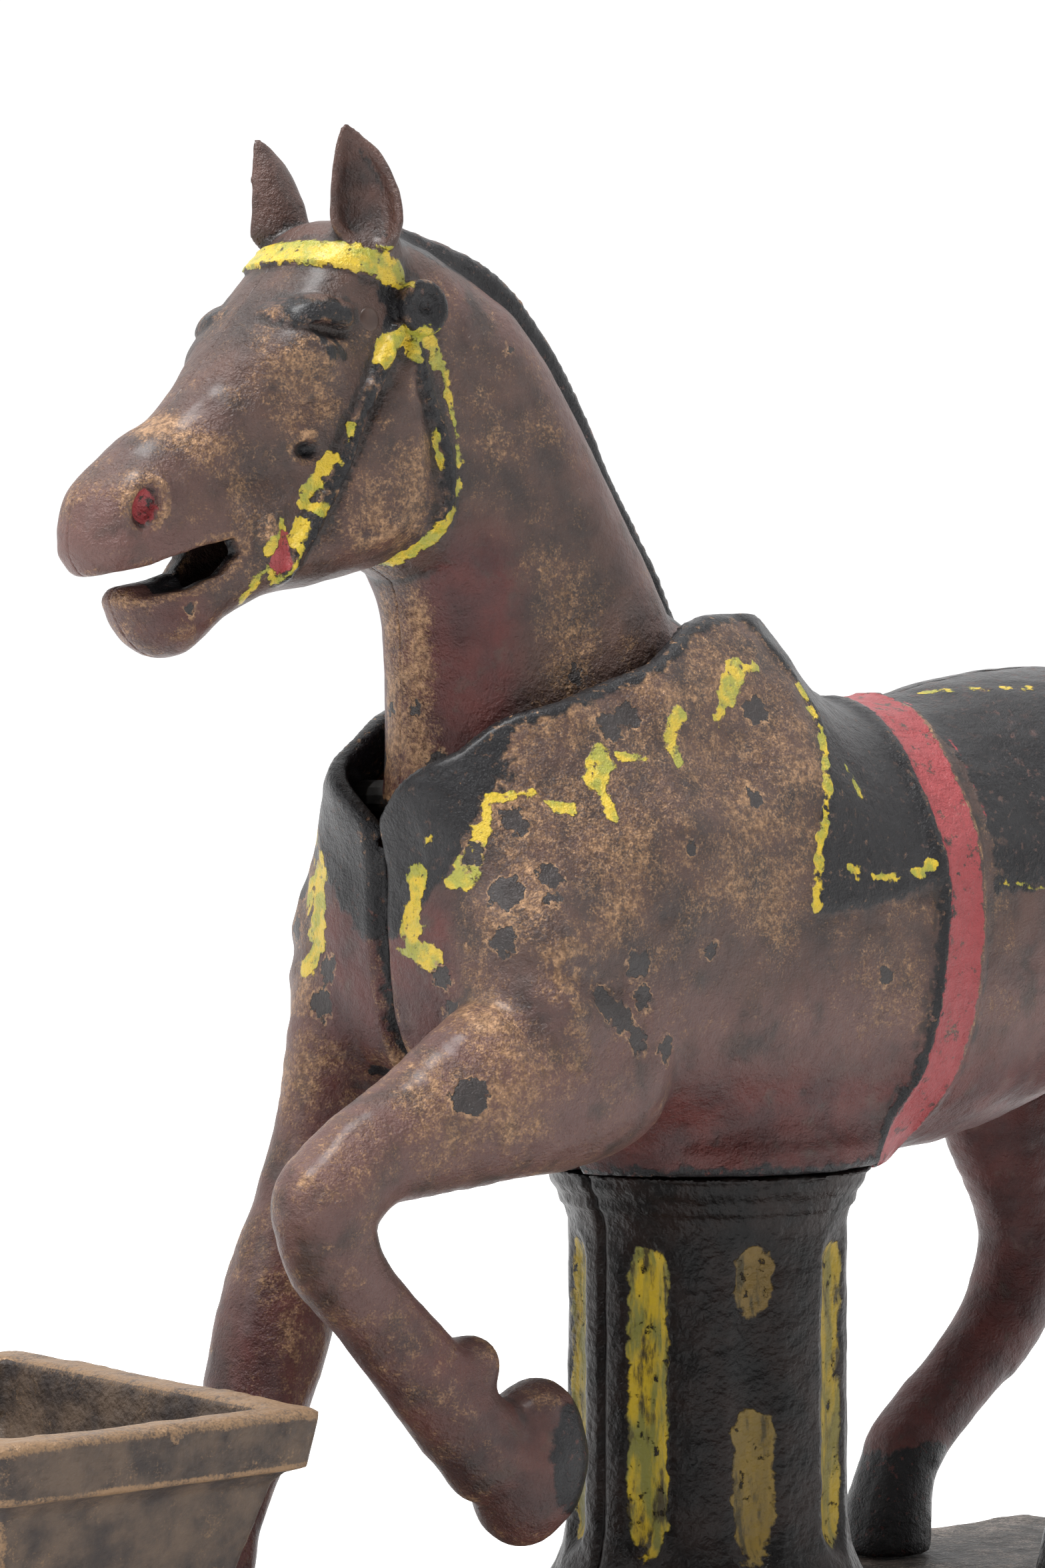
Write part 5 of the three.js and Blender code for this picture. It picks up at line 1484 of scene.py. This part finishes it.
def column_marks(v):
    """Yellow strokes in the flutes, some of them gone brown."""
    around = np.degrees(np.arctan2(v[:, 1], v[:, 0] - COLUMN_X)) % 360
    yellow = np.full(len(v), FAR, np.float32)
    ochre = np.zeros(len(v), np.float32)
    for angle, low, high, brown in FLUTE_PAINT:
        arc = np.radians((around - angle + 180) % 360 - 180) * FLUTE_PAINT_RADIUS
        past_end = np.maximum(np.maximum(0.45 * (low + 5.4 - v[:, 2]), v[:, 2] - high + 2.4), 0)
        away = np.hypot(arc, past_end) - FLUTE_PAINT_HALF_WIDTH
        ochre = np.where(away < yellow, brown, ochre)
        yellow = np.minimum(yellow, away)
    return dict(yellow=yellow, ochre=ochre, top_face=np.zeros(len(v)))


# --------------------------------------------------------------------------------------------
# Studio
# --------------------------------------------------------------------------------------------

CAMERA_PLACE = (-0.30418, -0.35671, 0.12555)
CAMERA_HEADING = 50.39       # degrees from +X
CAMERA_PITCH = -0.655
CAMERA_LENS = 101.79         # millimetres
SENSOR_HEIGHT = 36
DOME_FRONT = 0.13            # strengths
DOME_BACK = 1.08
FLOOR_GLOW = 0.75
FLOOR_REACH = 8.0            # metres
TOP_POWER = 9.0              # watts
SIDE_POWER = 2.0
RIGHT_POWER = 0.8
LIGHT_TARGET = (0, 0, 0.1)


def aim(obj, direction):
    obj.rotation_euler = Vector(direction).to_track_quat("-Z", "Y").to_euler()


def make_camera():
    data = bpy.data.cameras.new("camera")
    data.sensor_fit = "VERTICAL"
    data.sensor_height = SENSOR_HEIGHT
    data.lens = CAMERA_LENS
    data.clip_start = 0.01
    camera = bpy.data.objects.new("camera", data)
    bpy.context.scene.collection.objects.link(camera)
    heading, pitch = math.radians(CAMERA_HEADING), math.radians(CAMERA_PITCH)
    camera.location = CAMERA_PLACE
    aim(camera, (
        math.cos(heading) * math.cos(pitch), math.sin(heading) * math.cos(pitch), math.sin(pitch),
    ))
    bpy.context.scene.camera = camera


def area_light(name, place, size, power):
    data = bpy.data.lights.new(name, "AREA")
    data.shape = "DISK"
    data.size = size
    data.energy = power
    light = bpy.data.objects.new(name, data)
    bpy.context.scene.collection.objects.link(light)
    light.location = place
    aim(light, Vector(LIGHT_TARGET) - Vector(place))


def make_world():
    """A dome that is white behind the object and dimmer on the side it is looked at from."""
    world = bpy.data.worlds.new("studio")
    world.use_nodes = True
    tree = world.node_tree
    direction = tree.nodes.new("ShaderNodeTexCoord").outputs["Generated"]
    behind = tree.nodes.new("ShaderNodeVectorMath")
    behind.operation = "DOT_PRODUCT"
    heading = math.radians(CAMERA_HEADING)
    behind.inputs[1].default_value = (math.cos(heading), math.sin(heading), 0.35)
    tree.links.new(direction, behind.inputs[0])
    ramp = tree.nodes.new("ShaderNodeMapRange")
    ramp.interpolation_type = "SMOOTHSTEP"
    limits = {"From Min": -0.35, "From Max": 0.75, "To Min": DOME_FRONT, "To Max": DOME_BACK}
    for name, value in limits.items():
        ramp.inputs[name].default_value = value
    tree.links.new(behind.outputs["Value"], ramp.inputs["Value"])
    tree.links.new(ramp.outputs["Result"], tree.nodes["Background"].inputs["Strength"])
    tree.nodes["Background"].inputs["Color"].default_value = (1, 1, 1, 1)
    bpy.context.scene.world = world


def make_floor():
    """A pale sheet, whiter away from the object."""
    mesh = bpy.data.meshes.new("floor")
    corners = [(x * FLOOR_REACH, y * FLOOR_REACH, 0) for x, y in ((-1, -1), (1, -1), (1, 1), (-1, 1))]
    mesh.from_pydata(corners, [], [(0, 1, 2, 3)])
    floor = bpy.data.objects.new("floor", mesh)
    bpy.context.scene.collection.objects.link(floor)
    s = Shader("floor")
    away = s.add("ShaderNodeVectorMath", operation="LENGTH")
    s.put(away.inputs[0], s.place)
    s.put(s.bsdf.inputs["Emission Color"], (1, 1, 1, 1))
    glow = s.times(s.ramp(away.outputs["Value"], 100, 330), FLOOR_GLOW)
    s.put(s.bsdf.inputs["Emission Strength"], glow)
    shade = s.blend(s.noise(40, 3.0), (0.80, 0.80, 0.80), (0.84, 0.84, 0.84))
    mesh.materials.append(s.finish(shade, 0.9, 0.0, s.bump_from(s.noise(3.0), 0.05, 0.1)))


def make_studio():
    bpy.context.scene.view_settings.view_transform = "Standard"
    make_world()
    make_floor()
    area_light("top", (-0.25, -0.05, 0.85), 0.32, TOP_POWER)
    area_light("side", (-0.75, 0.05, 0.45), 0.4, SIDE_POWER)
    area_light("right", (0.45, -0.55, 0.5), 0.4, RIGHT_POWER)


# --------------------------------------------------------------------------------------------
# Putting it together
# --------------------------------------------------------------------------------------------


BODY_SEEDS = {"left": 21, "right": 31}
HIND_STRIDE = 4        # how much further back the left hind leg stands


def both_halves(castings, body, base_name, material, marks):
    """The left half as made, and the right one mirrored."""
    for side, casting in castings.items():
        vertices, quads = casting.skin()
        bend = casting.bend(vertices)
        if side == "right":
            vertices, quads = mirrored(vertices, quads)
        painted = dict(marks(vertices), bend=bend)
        name = f"{base_name}_casting_{side}"
        piece(name, vertices, quads, body, [f"{base_name}_{side}"], material, painted)


def single(casting, name, body, node, material):
    """A piece that is whole, without painted strokes."""
    vertices, quads = casting.skin()
    marks = dict(
        bend=casting.bend(vertices),
        yellow=np.full(len(vertices), FAR),
        ochre=np.zeros(len(vertices)),
        # the base's top face takes more of the light rub colour
        top_face=smooth_step(vertices[:, 2], BASE_TOP - 1.2, BASE_TOP - 0.4) * (node == "base_box"),
    )
    piece(name, vertices, quads, body, [node], material, marks)


def make_head():
    casting = head_half()
    castings = {"left": casting, "right": casting}
    both_halves(castings, "head", "head", horse_paint("head paint"), head_marks)
    single(rivet_casting(), "head_rivet", "head", "head_rivet_upper", rivet_paint())


def make_body():
    raised = [(limb(LEFT_FORELEG), 1.8), (KNEE_CAP, 1.6), (FETLOCK_TUFT, 1.6), (LEFT_FORE_HOOF, 0.9)]
    planted = [(limb(RIGHT_FORELEG), 2.6), (limb(RIGHT_FORE_HOOF), 1.2)]
    castings = {}
    for side, foreleg, shift in (("left", raised, HIND_STRIDE), ("right", planted, 0)):
        legs = foreleg + [(limb(hind_leg(shift)), 4), (limb(hind_hoof(shift)), 1)]
        castings[side] = body_half(legs, BODY_SEEDS[side])
    both_halves(castings, "stand", "body", horse_paint("body paint"), body_marks)


def make_column():
    casting = column_half()
    castings = {"left": casting, "right": casting}
    dark, light, rub = (0.0035, 0.003, 0.003), (0.014, 0.008, 0.0065), (0.10, 0.055, 0.038)
    paint = enamel_paint("column paint", dark, light, rub, -0.85, 0.34)
    both_halves(castings, "stand", "column", paint, column_marks)


def make_manger():
    dark, light, rub = (0.045, 0.036, 0.033), (0.12, 0.085, 0.062), (0.26, 0.165, 0.095)
    paint = enamel_paint("manger paint", dark, light, rub, 0.12, 0.46)
    single(manger_casting(), "manger_casting", "stand", "manger", paint)


def make_base():
    dark, light, rub = (0.036, 0.032, 0.029), (0.080, 0.066, 0.057), (0.34, 0.28, 0.235)
    paint = enamel_paint("base paint", dark, light, rub, -0.45, 0.46)
    single(base_casting(), "base_casting", "stand", "base_box", paint)


def make_knob():
    dark, light, rust = (0.02, 0.018, 0.017), (0.07, 0.06, 0.055), (0.10, 0.045, 0.022)
    iron = bare_metal("knob iron", dark, light, rust, 0.42, 0.1)
    single(knob_casting(), "knob", "pull", "pull_knob", iron)


def finish_cad_nodes():
    """Materials for the pieces whose CAD shape stays."""
    dark, light, rust = (0.03, 0.027, 0.025), (0.09, 0.08, 0.075), (0.11, 0.045, 0.02)
    iron = bare_metal("bare iron", dark, light, rust, 0.5, 0.12)
    dark, light, rust = (0.16, 0.155, 0.15), (0.30, 0.29, 0.28), (0.13, 0.06, 0.03)
    steel = bare_metal("steel", dark, light, rust, 0.38, 0.02)
    slots = {item["node"]: item["material_slot"] for item in frame["record"]["subparts"]}
    for name, node in frame["nodes"].items():
        node.data.materials.clear()
        node.data.materials.append(steel if slots.get(name) == "steel" else iron)


make_camera()
make_studio()
finish_cad_nodes()
make_head()
make_body()
make_column()
make_manger()
make_base()
make_knob()
